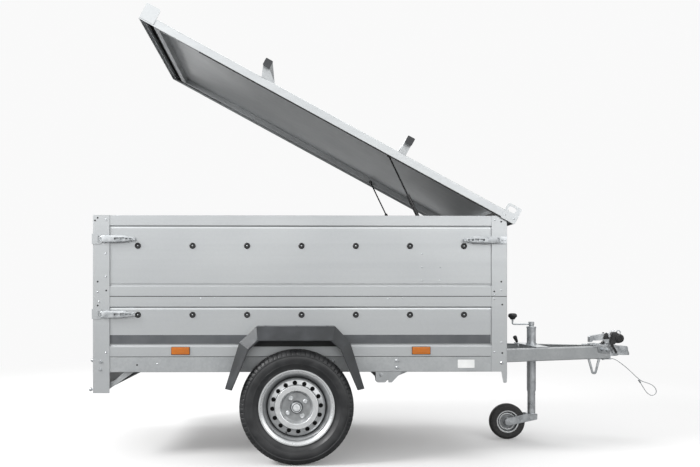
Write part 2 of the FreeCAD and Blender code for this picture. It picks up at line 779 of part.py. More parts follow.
half_tyre = S.tyre_width / 2
TYRE = [
    # radius, half width, rounding
    (S.bead_radius, S.rim_half - 13),
    (S.flange_radius, S.rim_half - 9),
    (S.tyre_radius - 55, half_tyre + 1.4, 40),
    (S.tyre_radius - 15, half_tyre - 6, 16),
    (S.tyre_radius, half_tyre - 20, 12),
]
tyre_section = [(radius, -half, *rest) for radius, half, *rest in TYRE] + TYRE[::-1]
hub_face = 25       # where the wheel disc lies on the hub, outside the middle of the tyre
disc = S.rim_steel
rim_inner = S.bead_radius - S.rim_steel
well_inner = S.well_radius - S.rim_steel
rim_section = [
    # radius, distance outside the middle of the tyre, rounding
    (S.flange_radius, -S.rim_half),
    (S.flange_radius, 6 - S.rim_half),
    (S.bead_radius, 13 - S.rim_half),
    (S.bead_radius, -30),
    (S.well_radius, -16, 5),
    (S.well_radius, 14, 5),
    (S.bead_radius, 28),
    (S.bead_radius, S.rim_half - 13),
    (S.flange_radius, S.rim_half - 6),
    (S.flange_radius, S.rim_half),
    (S.flange_radius - 6, S.rim_half, 2),
    (rim_inner, S.rim_half - 9, 4),
    (rim_inner, 30, 4),
    (well_inner, 15, 3),
    (well_inner, 9),
    (S.vent_circle + 24, 9, 2),
    (S.vent_circle + 22, hub_face, 4),
    (S.vent_circle + 13, hub_face + 6, 4),
    (S.vent_circle - 8, hub_face + 12, 4),
    (S.bolt_circle + 54, hub_face + 24, 2),
    (S.bolt_circle + 30, hub_face + 24, 3),
    (S.bolt_circle + 24, hub_face + 8, 3),
    (S.bolt_circle + 18, hub_face + disc, 2),
    (31, hub_face + disc),
    (31, hub_face),
    (S.bolt_circle + 20, hub_face, 2),
    (S.bolt_circle + 28, hub_face + 5, 3),
    (S.bolt_circle + 33, hub_face + 20, 3),
    (S.bolt_circle + 51, hub_face + 20, 2),
    (S.vent_circle - 12, hub_face + 8, 4),
    (S.vent_circle + 10, hub_face + 2, 4),
    (S.vent_circle + 18, hub_face - 3, 4),
    (S.vent_circle + 20, 5, 2),
    (well_inner, 5),
    (well_inner, -15, 3),
    (rim_inner, -29, 4),
    (rim_inner, 9 - S.rim_half, 4),
    (S.flange_radius - 6, -S.rim_half, 2),
]
hub_section = [
    (S.stub_radius + S.running_gap, -52), (36, -52, 3), (36, -6, 6), (64, 10, 4), (66, 16),
    (66, hub_face), (28, hub_face), (28, 50, 2), (22, 56, 4), (0, 56), (0, 24),
    (S.stub_radius + S.running_gap, 24),
]


def wheel(side, name):
    """Tyre, rim and hub of one side, turned about the wheel's axis."""
    tyre = turned(tyre_section)
    rim = hole_ring(turned(rim_section), S.vent_radius, S.vent_circle, S.vent_count, S.vent_start)
    rim = hole_ring(rim, S.bolt_hole, S.bolt_circle, S.bolt_count, S.bolt_start)
    hub = turned(hub_section)
    for piece, label in ((tyre, "tyre_"), (rim, "rim_"), (hub, "hub_")):
        place(piece, from_rear(S.wheel_x), side * (half_width + S.wheel_out), S.tyre_radius,
              "x", -90 * side)
        part(piece, label + name)


wheel(-1, "right")
wheel(1, "left")


# ---- mudguards ----------------------------------------------------------------------------------

GUARD = [
    # ahead of the wheel centre, height: the flat top's contour, then the outer lip's
    ((-345, 364), (-312, 364)),
    ((-276, 588), (-231, 560)),
    ((-193, 665), (-186, 604)),
    ((187, 665), (168, 604)),
    ((259, 588), (214, 560)),
    ((328, 364), (295, 364)),
]


def guard_contour(column, inset=0):
    """A contour ahead of the wheel, with its feet's height kept and the rest moved inside."""
    foot = GUARD[0][column][1]
    return [(S.wheel_x + row[column][0] + (inset if row[column][0] < 0 else -inset),
             sized(row[column][1]) - (inset if row[column][1] > foot else 0)) for row in GUARD]


guard_edge = -half_width - S.guard_flat     # where the flat top meets the sloping band
guard_lip = -half_width - S.guard_out
band_inset = S.guard_steel * 1.4
guard_band = cut(funnel(guard_contour(0), guard_contour(1), guard_lip, guard_edge),
                 funnel(guard_contour(0, band_inset), guard_contour(1, band_inset), guard_lip, guard_edge))
guard = fuse(slab("XZ", guard_contour(0) + guard_contour(0, S.guard_steel)[::-1], guard_edge, -half_width),
             guard_band)
part(guard, "mudguard_right")
part(mirrored(guard), "mudguard_left")


# ---- rear lamps ---------------------------------------------------------------------------------

carrier_low = 345
carrier_high = 425
carrier_steel = 4
carrier_back = 26
carrier = slab("XZ", [
    (carrier_back + 34, carrier_low), (carrier_back, carrier_low, 5), (carrier_back, carrier_high, 5),
    (carrier_back + 34, carrier_high), (carrier_back + 34, carrier_high - carrier_steel),
    (carrier_back + carrier_steel, carrier_high - carrier_steel, 1),
    (carrier_back + carrier_steel, carrier_low + carrier_steel, 1),
    (carrier_back + 34, carrier_low + carrier_steel),
], -half_width, half_width)
stay_foot = 107                         # where a stay bends up towards the side beam
stays = [slab("XZ", [
    (carrier_back + carrier_steel, carrier_low), (stay_foot - 37, carrier_low, 12),
    (stay_foot, S.beam_low - 64), (stay_foot + 92, S.beam_low), (stay_foot + 43, S.beam_low),
    (stay_foot - 3, S.beam_low - 42, 6), (carrier_back + carrier_steel, carrier_low + 27),
], low, low + 5) for low in (20 - half_width, half_width - 25)]
part(fuse(carrier, *stays), "rear_lamp_carrier")
lamp_in = 40
lamp_wide = 210
lamp = slab("YZ", [
    (lamp_in - half_width, carrier_low + 5, 12), (lamp_in + lamp_wide - half_width, carrier_low + 5, 12),
    (lamp_in + lamp_wide - half_width, carrier_high - 5, 12), (lamp_in - half_width, carrier_high - 5, 12),
], 0, carrier_back)
both(lamp, "tail_lamps")

# A rubber stop on each rear post, which the hanging lower tailgate would meet.
gate_stop = turned([(0, 0), (6, 0), (6, 9, 2), (10, 12, 2), (10, S.stop_back - 5, 4), (7, S.stop_back, 3),
                    (0, S.stop_back)])
place(gate_stop, from_rear(0), 14 - half_width, S.rear_post_low + 18, "y", -90)
both(gate_stop, "gate_stops")


# ---- drawbar ------------------------------------------------------------------------------------

bar_rear = S.box_length - S.drawbar_back
bar_front = S.box_length + S.drawbar_ahead
bar_rear_y = half_width - S.drawbar_inset
slope = (bar_rear_y - S.drawbar_tip) / (bar_front - bar_rear)
slant = root(slope * slope + 1)
drawbar_top = S.drawbar_low + S.beam_tall


def beam_y(x, inward=0):
    """Distance of a drawbar beam's outer face from the centre line, moved inward."""
    return S.drawbar_tip + (bar_front - x) * slope - inward * slant


def cross_plate(start, end, low, high, inward):
    """A plate between the drawbar beams, with ends that follow them."""
    return slab("XY", [
        (start, -beam_y(start, inward)), (end, -beam_y(end, inward)),
        (end, beam_y(end, inward)), (start, beam_y(start, inward)),
    ], low, high)


# A right-hand beam is a channel open inwards, laid along its own X axis and then turned inwards.
wall = S.drawbar_wall
beam = slab("YZ", [
    (0, S.drawbar_low, 5), (S.drawbar_wide, S.drawbar_low), (S.drawbar_wide, S.drawbar_low + wall),
    (wall, S.drawbar_low + wall, 2), (wall, drawbar_top - wall, 2), (S.drawbar_wide, drawbar_top - wall),
    (S.drawbar_wide, drawbar_top), (0, drawbar_top, 5),
], 0, (bar_front - bar_rear) * slant, shift=False)
place(beam, from_rear(bar_rear), -bar_rear_y, 0, "z", bearing(slope))
both(beam, "drawbar_beams")

pivot_x = S.wheel_x + S.pivot_ahead
arm_y = bar_rear_y + 8
pivot_arm = slab("XZ", [
    (pivot_x - 26, S.pivot_z - 26, 24), (pivot_x + 26, S.pivot_z - 26, 20),
    (bar_rear + 30, S.drawbar_low + 2, 6), (bar_rear + 30, drawbar_top - 18, 10),
    (bar_rear - 10, drawbar_top - 18, 20), (pivot_x - 26, S.pivot_z + 26, 24),
], -arm_y, 8 - arm_y)
pivot_tube = rod(pivot_x, 16 - half_width, S.pivot_z, S.pivot_radius, S.box_width - 32, "y")
part(fuse(pivot_tube, pivot_arm, mirrored(pivot_arm)), "drawbar_pivot_tube")

hanger = cut(
    fuse(
        slab("XZ", [
            (pivot_x - 27, S.pivot_z - 27, 12), (pivot_x + 27, S.pivot_z - 27, 12),
            (pivot_x + 27, S.beam_low), (pivot_x - 27, S.beam_low),
        ], -half_width, 30 - half_width),
        slab("XZ", [
            (pivot_x + 36, S.pivot_z - 27), (pivot_x + 53, S.pivot_z - 27, 4),
            (pivot_x + 103, S.beam_low), (pivot_x + 36, S.beam_low),
        ], -half_width, 5 - half_width),
        box(pivot_x + 27, pivot_x + 36, 2 - half_width, 6 - half_width, S.pivot_z - 15, S.beam_low),
    ),
    rod(pivot_x, 15 - half_width, S.pivot_z, S.pivot_radius + S.running_gap, 20, "y"),
)
both(hanger, "pivot_hangers")


# ---- jockey leg ---------------------------------------------------------------------------------

jack_x = S.box_length + S.jack_ahead
clamp_steel = 6
collar_low = drawbar_top - 46
collar_high = drawbar_top + 14
clamp_screw = slab("XZ", [
    (18, 4), (44, -1), (60, -8), (60, -14), (70, -17), (72, -9), (64, -5), (46, 6), (18, 12),
], -5, 5, shift=False)
place(clamp_screw, from_rear(jack_x), 5, drawbar_top - 4)
clamp = cut(
    fuse(cross_plate(jack_x - 38, jack_x + 38, drawbar_top, drawbar_top + clamp_steel, 6),
         rod(jack_x, 0, collar_low, S.jack_radius + 5, collar_high - collar_low),
         clamp_screw),
    rod(jack_x, 0, collar_low - 1, S.jack_radius, collar_high - collar_low + 2),
)
part(clamp, "jack_clamp")

jack_bore = S.jack_radius - S.jack_wall
jack_cap = 7                            # the cap's collar above the outer tube's top
cap = turned([(0, 0), (S.jack_radius + 2, 0), (S.jack_radius + 2, 10, 3), (14, 10), (14, 10 + jack_cap, 3),
              (0, 10 + jack_cap)])
place(cap, from_rear(jack_x), 0, S.jack_top - 10)
part(fuse(cut(rod(jack_x, 0, S.jack_bottom, S.jack_radius, S.jack_top - 10 - S.jack_bottom),
              rod(jack_x, 0, S.jack_bottom - 1, jack_bore, S.jack_top - 30 - S.jack_bottom)),
          cap), "jack_outer_tube")

crank_z = S.jack_top + 5
stem_x = jack_x - S.crank_reach
knob_low = crank_z + 35
knob = turned([(0, 0), (13, 0, 3), (17, 9, 4), (25, 14, 4), (25, 26, 9), (14, 35, 8), (0, 35)])
place(knob, from_rear(stem_x), 0, knob_low)
crank_head = turned([(0, 0), (15, 0), (15, 20, 4), (0, 20)])
place(crank_head, from_rear(jack_x), 0, S.jack_top + jack_cap)
part(fuse(
    crank_head,
    rod(stem_x, 0, crank_z + 8, S.crank_radius, S.crank_reach, "x"),
    ball(stem_x, 0, crank_z + 8, S.crank_radius),
    rod(stem_x, 0, crank_z + 8, S.crank_radius, knob_low - crank_z - 6),
    knob,
), "jack_crank")

part(rod(jack_x, 0, S.jack_foot, jack_bore - S.running_gap, S.jack_inner_long), "jack_inner_tube")

fork_steel = 4
fork_half = S.jockey_width / 2 + 6
axle_back = jack_x - S.jockey_trail
swivel_gap = 0.3
fork_top = S.jack_foot - swivel_gap


def fork_side(low):
    """A pressed fork blade from under the leg back to the jockey wheel's axle."""
    return slab("XZ", [
        (jack_x + 24, fork_top - 32, 8), (jack_x + 24, fork_top, 3), (jack_x - 36, fork_top, 20),
        (axle_back - 17, S.jockey_radius + 18, 16), (axle_back - 17, S.jockey_radius - 18, 16),
        (axle_back + 14, S.jockey_radius - 18, 12),
    ], low, low + fork_steel)


part(fuse(
    fork_side(-fork_half - fork_steel), fork_side(fork_half),
    box(jack_x - 30, jack_x + 20, -fork_half, fork_half, fork_top - 5, fork_top),
    rod(axle_back, -fork_half - 9, S.jockey_radius, 6, 2 * fork_half + 18, "y"),
), "jockey_fork")

half_jockey = S.jockey_width / 2
jockey_seat = 63
tyre_piece = turned([
    (jockey_seat, -half_jockey), (S.jockey_radius, -half_jockey, 16),
    (S.jockey_radius, half_jockey, 16), (jockey_seat, half_jockey),
])
jockey_bore = 6 + S.running_gap
rim_piece = turned([
    (jockey_bore, -half_jockey), (18, -half_jockey, 2), (18, -4, 5), (38, -4, 2), (42, -11, 2),
    (47, -11, 2), (50, -4, 2), (53, -4),
    (56, 2 - half_jockey, 2), (jockey_seat, 2 - half_jockey), (jockey_seat, half_jockey - 2),
    (56, half_jockey - 2, 2), (53, 4), (50, 4, 2), (47, 11, 2), (42, 11, 2), (38, 4, 2), (18, 4, 5),
    (18, half_jockey, 2), (jockey_bore, half_jockey),
])
for piece, label in ((tyre_piece, "jockey_tyre"), (rim_piece, "jockey_rim")):
    place(piece, from_rear(axle_back), 0, S.jockey_radius, "x", 90)
    part(piece, label)


# ---- tilt lever, coupling and breakaway cable ---------------------------------------------------

lever_x = S.box_length + 213        # foot of the lever that locks the tipping bed
tray_low = S.drawbar_low + wall
lever_grip = turned([(0, 0), (8, 0, 3), (9, 12), (13, 44, 8), (0, 56)])
place(lever_grip, from_rear(lever_x - 3), 0, tray_low + 72, "y", -24)
part(fuse(cross_plate(lever_x - 34, lever_x + 30, tray_low, tray_low + 5, wall + 3),
          rod(lever_x, 0, tray_low, 10, 12),
          rod(lever_x, 0, tray_low, 4.5, 78),
          lever_grip), "tilt_lever")

nose_x = S.box_length + S.nose_ahead
ball_x = nose_x - S.ball_back
head_low = S.drawbar_low + 18
head_top = drawbar_top - 1
shoulder = 5        # plate thickness of the coupling's back
plate_top = drawbar_top + shoulder
ball_z = head_low + 17
head = common(
    slab("XZ", [
        (bar_front + 5, head_low - 4), (ball_x - 32, head_low - 4, 6), (ball_x - 30, head_low),
        (nose_x, head_low, 3), (nose_x - 3, head_low + 9, 4), (nose_x - 14, head_low + 24, 10),
        (nose_x - 18, head_top, 14), (ball_x - 60, head_top + 3), (bar_front + 5, plate_top),
    ], -60, 60),
    slab("XY", [
        (bar_front + 5, -44), (bar_front + 20, -44, 8), (ball_x - 22, -34, 20), (ball_x, -37, 14),
        (nose_x, -35, 32), (nose_x, 35, 32), (ball_x, 37, 14), (ball_x - 22, 34, 20),
        (bar_front + 20, 44, 8), (bar_front + 5, 44),
    ], head_low - 10, plate_top + 5),
)
gap_wide = 4
gap_points = [
    (ball_x - 63, plate_top + 1), (ball_x - 63 + gap_wide, plate_top + 1),
    (ball_x - 33 + gap_wide, head_low - 6), (ball_x - 33, head_low - 6),
]
ears = slab("XZ", [
    (bar_front - 20, drawbar_top), (bar_front + 12, drawbar_top),
    (bar_front + 8, plate_top + 58, 12), (bar_front - 16, plate_top + 58, 12),
], -12, 12)
part(cut(
    fuse(
        slab("XY", [
            (bar_front - 80, -66, 10), (bar_front + 6, -46), (bar_front + 44, -34, 6),
            (bar_front + 44, 34, 6), (bar_front + 6, 46), (bar_front - 80, 66, 10),
        ], drawbar_top, plate_top),
        box(bar_front - 70, bar_front + 6, -56, 56, S.drawbar_low - shoulder, S.drawbar_low),
        box(bar_front, bar_front + 6, -46, 46, S.drawbar_low - shoulder, plate_top),
        head, ears,
    ),
    slab("XZ", gap_points, -60, -26), slab("XZ", gap_points, 26, 60),
    rod(ball_x, 0, head_low - 1, S.socket_radius, ball_z - head_low + 1),
    ball(ball_x, 0, ball_z, S.socket_radius),
    rod(bar_front - 4, -13, plate_top + 46, 5 + S.running_gap, 26, "y"),
), "coupling_housing")

handle_steel = 2.5
handle_half = 17
part(fuse(
    cut(
        slab("XZ", [
            (bar_front + 7, plate_top + 30), (bar_front + 7, plate_top + 67, 8),
            (bar_front - 102, plate_top + 50, 8), (bar_front - 102, plate_top + 14, 3),
            (bar_front - 88, plate_top + 14, 3), (bar_front - 86, plate_top + 24, 6),
            (bar_front - 32, plate_top + 25, 8), (bar_front - 12, plate_top + 30),
        ], -handle_half, handle_half),
        slab("XZ", [
            (bar_front + 8, plate_top + 12), (bar_front + 8, plate_top + 67 - handle_steel),
            (bar_front - 102 + handle_steel, plate_top + 50 - handle_steel),
            (bar_front - 102 + handle_steel, plate_top + 12),
        ], handle_steel - handle_half, handle_half - handle_steel),
    ),
    rod(bar_front - 4, -handle_half - 3, plate_top + 46, 5, 2 * handle_half + 6, "y"),
), "coupling_handle")

plug_x = bar_front + 68
part(fuse(
    rod(plug_x, -22, plate_top + 36, 25, 44, "y"),
    rod(plug_x, -27, plate_top + 36, 17, 54, "y"),
    slab("XZ", [
        (bar_front + 14, plate_top), (bar_front + 42, plate_top, 6), (plug_x - 4, plate_top + 12, 6),
        (plug_x + 2, plate_top + 60, 12), (bar_front + 46, plate_top + 81, 14),
        (bar_front + 14, plate_top + 72, 10),
    ], -20, 20),
), "coupling_plug")

hook_y = 80
hook_low = S.drawbar_low - 85
hook_wide = 12
hook_x = bar_front - 102
part(slab("XZ", [
    (hook_x - 35, S.drawbar_low), (hook_x - 35 + hook_wide, S.drawbar_low),
    (hook_x - 4, hook_low + 13, 4), (hook_x + 4, hook_low + 13, 4),
    (hook_x + 35 - hook_wide, S.drawbar_low), (hook_x + 35, S.drawbar_low),
    (hook_x + 11, hook_low, 12), (hook_x - 11, hook_low, 12),
], -hook_y - 5, 5 - hook_y), "cable_hook")

CABLE = [
    # ahead of the coupling's front end, y, height: the breakaway cable's route, ending in its loop
    (-120, -42, 457), (-98, -42, 457), (-62, -42, 433), (-25, -42, 404), (5, -42, 376),
    (31, -42, 351), (58, -42, 329), (90, -41, 320), (122, -40, 307), (143, -39, 284),
    (144, -38, 259), (121, -37, 245), (96, -37, 257), (72, -37, 288), (53, -37, 322),
]


def cord(points, radius):
    """A tube along straight runs joined by arcs as large as their two runs allow."""
    ends = [FreeCAD.Vector(*point) for point in points]
    edges = []
    last = ends[0]
    for before, corner, after in zip(ends, ends[1:], ends[2:]):
        back = (before - corner).normalize()
        ahead = (after - corner).normalize()
        reach = 0.45 * min((before - corner).Length, (after - corner).Length)
        half_turn = (math.pi - back.getAngle(ahead)) / 2
        bend = reach / math.tan(half_turn)
        start = corner + back * reach
        stop = corner + ahead * reach
        middle = corner + (back + ahead).normalize() * (bend / math.cos(half_turn) - bend)
        edges.append(Part.LineSegment(last, start).toShape())
        edges.append(Part.Arc(start, middle, stop).toShape())
        last = stop
    edges.append(Part.LineSegment(last, ends[-1]).toShape())
    path = Part.Wire(edges)
    ring = Part.Circle(ends[0], ends[1] - ends[0], radius)
    tube = path.makePipeShell([Part.Wire([ring.toShape()])], True, False)
    print(f"cable {path.Length:.0f} mm long, {tube.Volume / path.Length:.3f} mm2 through")
    return tube


cable = doc.addObject("Part::Feature", "cable")
cable.Shape = cord(CABLE, float(S.cable_radius))
place(cable, from_rear(nose_x))
part(cable, "breakaway_cable")


# ---- lid ----------------------------------------------------------------------------------------
# The lid is drawn closed, from its hinge axis, and its placement opens it.

def open_lid(piece, label):
    place(piece, from_rear(hinge_x), 0, hinge_z, "y", S.lid_angle)
    return part(piece, label)


def lid_box(x_low, x_high, y_low, y_high, z_low, z_high):
    return box(x_low, x_high, y_low, y_high, z_low, z_high, shift=False)


half_lid = half_width + S.lid_side
lid_back = hinge_x + S.lid_overhang
skirt_low = S.lid_rise - S.skirt_tall
under = S.lid_rise - S.lid_steel
lid_shell = slab("YZ", [
    (-half_lid, skirt_low), (half_lid, skirt_low), (half_lid, S.lid_rise, 5), (-half_lid, S.lid_rise, 5),
], -lid_back, S.lid_ahead, shift=False)
lid_hollow = slab("YZ", [
    (S.lid_steel - half_lid, skirt_low - 1), (half_lid - S.lid_steel, skirt_low - 1),
    (half_lid - S.lid_steel, under, 3), (S.lid_steel - half_lid, under, 3),
], S.lid_steel - lid_back, S.lid_ahead - S.lid_steel, shift=False)
open_lid(cut(lid_shell, lid_hollow), "lid_sheet")

rail_out = inner_half - S.rail_inset
rail_in = rail_out - S.rail_wide
rail_low = under - S.rail_tall
rail_rear = S.board_thick + 10 - hinge_x
rail_front = sized(-62)
side_rail = slab("YZ", [
    (-rail_out, rail_low, 3), (-rail_in, rail_low, 3), (-rail_in, under), (-rail_out, under),
], rail_rear, rail_front, shift=False)
rails = [
    side_rail,
    mirrored(side_rail),
    lid_box(rail_rear, rail_rear + 30, -rail_in, rail_in, rail_low, under),
    lid_box(rail_front - 30, rail_front, -rail_in, rail_in, rail_low, under),
]
stud_end = strut_y + 5.3        # the studs end just beside the struts' eyes
for start in (-rail_in, stud_end):
    rails.append(rod(-S.strut_head_back, start, S.strut_head_rise, S.strut_pin, rail_in - stud_end,
                     "y", shift=False))
for start in hinge_starts:
    low = start + hinge_third + 1
    long = hinge_third - 2
    leaf = slab("XZ", [
        (0, 4.5), (4, 4.5), (4, under), (-64, under), (-64, under - 4), (0, under - 4),
    ], low, low + long, shift=False)
    rails.append(cut(
        fuse(rod(0, low, 0, S.hinge_knuckle, long, "y", shift=False), leaf),
        rod(0, low, 0, S.hinge_pin + S.running_gap, long, "y", shift=False)))
open_lid(fuse(*rails), "lid_frame")

plate_y = half_lid + 3


def end_plate(points):
    return slab("XZ", points, -plate_y, -half_lid, shift=False)


rear_plate = end_plate([
    (-lid_back, 25, 3), (79 - lid_back, 25, 3), (79 - lid_back, 106, 12), (-lid_back, 106, 3),
])
oval_x = -23
oval_z = 73
oval = fuse(*[rod(oval_x + ahead, -plate_y - 1, oval_z, 14, 5, "y", shift=False) for ahead in (-7, 7)],
            lid_box(oval_x - 7, oval_x + 7, -plate_y - 1, 4 - plate_y, oval_z - 14, oval_z + 14))
front_plate = cut(end_plate([(-56, 13, 3), (21, 13, 10), (21, 97, 4), (-56, 97, 12)]), oval)
open_lid(group(rear_plate, front_plate, mirrored(rear_plate), mirrored(front_plate)), "lid_end_plates")


def roof_bar(x, foot_rear, foot_front):
    """A square bar across the lid on two feet, whose bases reach from foot_rear to foot_front."""
    top = S.bar_rise + S.bar_size
    bar = slab("XZ", [
        (x, S.bar_rise, 4), (x + S.bar_size, S.bar_rise, 4), (x + S.bar_size, top, 4), (x, top, 4),
    ], 2 - half_lid, half_lid - 2, shift=False)
    foot = slab("XZ", [
        (x + foot_rear, S.lid_rise), (x + foot_front, S.lid_rise), (x + foot_front, S.lid_rise + 4),
        (x + S.bar_size, S.bar_rise), (x + S.bar_size, S.bar_rise + 5), (x, S.bar_rise + 5),
        (x, S.bar_rise), (x + foot_rear, S.lid_rise + 4),
    ], 20 - half_lid, 60 - half_lid, shift=False)
    cap = slab("XZ", [
        (x - 1, S.bar_rise - 1, 5), (x + S.bar_size + 1, S.bar_rise - 1, 5),
        (x + S.bar_size + 1, top + 1, 5), (x - 1, top + 1, 5),
    ], -half_lid - 4, 2 - half_lid, shift=False)
    return fuse(bar, foot, mirrored(foot)), [cap, mirrored(cap)]


rear_bar, rear_caps = roof_bar(S.rear_bar_x - hinge_x, 20, 96)
front_bar, front_caps = roof_bar(S.box_length - S.front_bar_back - hinge_x, 1, S.bar_size - 1)
open_lid(group(rear_bar, front_bar), "lid_crossbars")
open_lid(group(*rear_caps, *front_caps), "crossbar_caps")

handle_rise = skirt_low + 12
handle = slab("XY", [
    (-lid_back, -215), (-lid_back - 14, -203, 8), (-lid_back - 14, -57, 8), (-lid_back, -45),
    (-lid_back, -57), (-lid_back - 6, -65, 5), (-lid_back - 6, -195, 5), (-lid_back, -203),
], handle_rise, handle_rise + 9, shift=False)
open_lid(group(handle), "lid_handle")


# ---- gas struts ---------------------------------------------------------------------------------

def strut_reach(opened):
    """Length and lean of a strut with the lid opened by an angle in radians."""
    back = float(S.strut_head_back)
    rise = float(S.strut_head_rise)
    along = float(hinge_x - strut_foot_x) - back * math.cos(opened) + rise * math.sin(opened)
    up = float(hinge_z - strut_foot_z) + back * math.sin(opened) + rise * math.cos(opened)
    return math.hypot(along, up), math.degrees(math.atan2(along, up))


strut_open, strut_lean = strut_reach(math.radians(float(S.lid_angle)))
store("strut_open", strut_open)
store("strut_lean", strut_lean)
doc.recompute()

eye_radius = 9
eye_half = 5


def eye(z):
    return rod(0, -eye_half, z, eye_radius, 2 * eye_half, "y", shift=False)


def eye_bore(z, gap):
    return rod(0, -eye_half - 1, z, S.strut_pin + gap, 2 * eye_half + 2, "y", shift=False)


for side, name in ((-1, "right"), (1, "left")):
    cylinder = turned([
        (0, 7), (4.5, 7), (4.5, 14), (S.strut_radius, 16, 1), (S.strut_radius, S.strut_long, 2),
        (S.strut_rod_radius + S.running_gap, S.strut_long), (S.strut_rod_radius + S.running_gap, 24),
        (0, 24),
    ])
    long = S.strut_open - S.strut_rod_long
    plunger = rod(0, 0, long, S.strut_rod_radius, S.strut_rod_long - 6, shift=False)
    for piece, label in (
            (cut(fuse(cylinder, eye(0)), eye_bore(0, S.running_gap)), "strut_cylinder_"),
            (cut(fuse(plunger, eye(S.strut_open)), eye_bore(S.strut_open, 0)), "strut_rod_")):
        place(piece, from_rear(strut_foot_x), side * strut_y, strut_foot_z, "y", S.strut_lean)
        part(piece, label + name)


# ---- checks and files ---------------------------------------------------------------------------

doc.recompute()
faults = [f"{item.Label}: {item.State}" for item in doc.Objects
          if "Invalid" in item.State or "Error" in item.State]
for piece in FINAL:
    if piece.Shape.isNull() or not piece.Shape.isValid() or not piece.Shape.Solids:
        faults.append(piece.Label + ": no valid solid")
if faults:
    raise RuntimeError("; ".join(faults))

os.makedirs("parts", exist_ok=True)
for piece in FINAL:
    piece.Shape.exportStep(os.path.join("parts", piece.Label + ".step"))
print(len(FINAL), "sub-parts,", sum(len(piece.Shape.Solids) for piece in FINAL), "solids")
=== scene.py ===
import json
import math

import bmesh
import bpy
from mathutils import Matrix, Vector


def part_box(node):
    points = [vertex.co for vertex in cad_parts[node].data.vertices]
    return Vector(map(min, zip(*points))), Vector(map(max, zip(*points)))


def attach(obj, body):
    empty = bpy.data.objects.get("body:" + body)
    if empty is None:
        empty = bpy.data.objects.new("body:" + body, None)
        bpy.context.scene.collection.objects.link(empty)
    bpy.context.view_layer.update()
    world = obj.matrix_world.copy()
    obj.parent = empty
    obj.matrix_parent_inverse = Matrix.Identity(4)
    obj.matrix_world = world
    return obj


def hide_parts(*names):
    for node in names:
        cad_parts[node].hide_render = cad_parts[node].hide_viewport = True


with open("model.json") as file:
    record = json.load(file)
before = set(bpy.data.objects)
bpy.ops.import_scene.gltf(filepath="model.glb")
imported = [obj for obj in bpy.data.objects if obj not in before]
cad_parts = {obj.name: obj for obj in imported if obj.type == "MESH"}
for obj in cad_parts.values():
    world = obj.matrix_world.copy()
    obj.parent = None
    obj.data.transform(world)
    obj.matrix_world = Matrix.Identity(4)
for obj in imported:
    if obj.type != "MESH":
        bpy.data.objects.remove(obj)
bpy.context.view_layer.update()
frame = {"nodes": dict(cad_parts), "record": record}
MM = 0.001


# ---- places read from the frame --------------------------------------

def corners(name):
    low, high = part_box(name)
    return Vector(low), Vector(high)


joints = {joint["name"]: joint for joint in frame["record"]["behaviour"]["joints"]}


def joint_at(name):
    return Vector(joints[name]["pos_m"])


post_low, post_high = corners("lower_posts")
board_low = corners("lower_side_right")[0]
upper_low, upper_high = corners("upper_side_right")
rear_x = post_low.x                     # rear of the load box
wheel_at = joint_at("wheel_right_spin")
hinge_at = joint_at("lid_hinge")
lid_turn = math.radians(joints["lid_hinge"]["range_deg"][1])     # from shut to open
jack_at = joint_at("caster_swivel")
jockey_at = joint_at("jockey_spin")
nose_x = corners("coupling_housing")[1].x
bar_front = nose_x - 126 * MM           # front end of the drawbar beams
coupling_plate = 5 * MM                 # thickness of the coupling's back plate
plate_top = corners("drawbar_beams")[1].z + coupling_plate

RIGHT = Vector((0, -1, 0))              # out of the right side
LEFT = Vector((0, 1, 0))
AHEAD = Vector((1, 0, 0))
BACK = Vector((-1, 0, 0))
UP = Vector((0, 0, 1))
LID_TURN = Matrix.Rotation(lid_turn, 3, "Y")
LID_AHEAD = LID_TURN @ AHEAD            # towards the open lid's front edge
LID_UP = LID_TURN @ UP                  # out of the open lid's top


# ---- materials -------------------------------------------------------

def linear(code):
    """A hex sRGB colour as linear RGBA."""
    parts = [int(code[i:i + 2], 16) / 255 for i in (1, 3, 5)]
    return tuple(c / 12.92 if c <= 0.04045 else ((c + 0.055) / 1.055) ** 2.4 for c in parts) + (1.0,)


def add(material, kind, output, inputs, **settings):
    """Add a node with its settings and links, and give one of its outputs."""
    tree = material.node_tree
    made = tree.nodes.new("ShaderNode" + kind)
    for name, value in settings.items():
        setattr(made, name, value)
    for name, value in inputs.items():
        if isinstance(value, bpy.types.NodeSocket):
            tree.links.new(value, made.inputs[name])
        else:
            made.inputs[name].default_value = value
    return None if output is None else made.outputs[output]


def blank(name):
    """A new material, and the surface's own coordinates in metres."""
    material = bpy.data.materials.new(name)
    material.use_nodes = True
    material.node_tree.nodes.clear()
    return material, add(material, "TexCoord", "Object", {})


def shaded(material, tone, colours, skin, inputs, gloss=None):
    """Close a material with its shader. tone: an output, and the range of it over which the two
    colours, and the gloss's two ends, pass into each other; skin: height, depth and strength."""
    value, low, high = tone
    spread = add(material, "MapRange", 0, {"Value": value, "From Min": low, "From Max": high})
    inputs["Base Color"] = add(material, "Mix", 2, {0: spread, 6: colours[0], 7: colours[1]},
                               data_type="RGBA")
    if gloss:
        inputs["Roughness"] = add(material, "MapRange", 0, {
            "Value": spread, "To Min": gloss[0], "To Max": gloss[1]})
    if skin:
        height, depth, strength = skin
        inputs["Normal"] = add(material, "Bump", 0, {
            "Height": height, "Distance": depth, "Strength": strength})
    shader = add(material, "BsdfPrincipled", "BSDF", inputs)
    add(material, "OutputMaterial", None, {"Surface": shader})
    return material


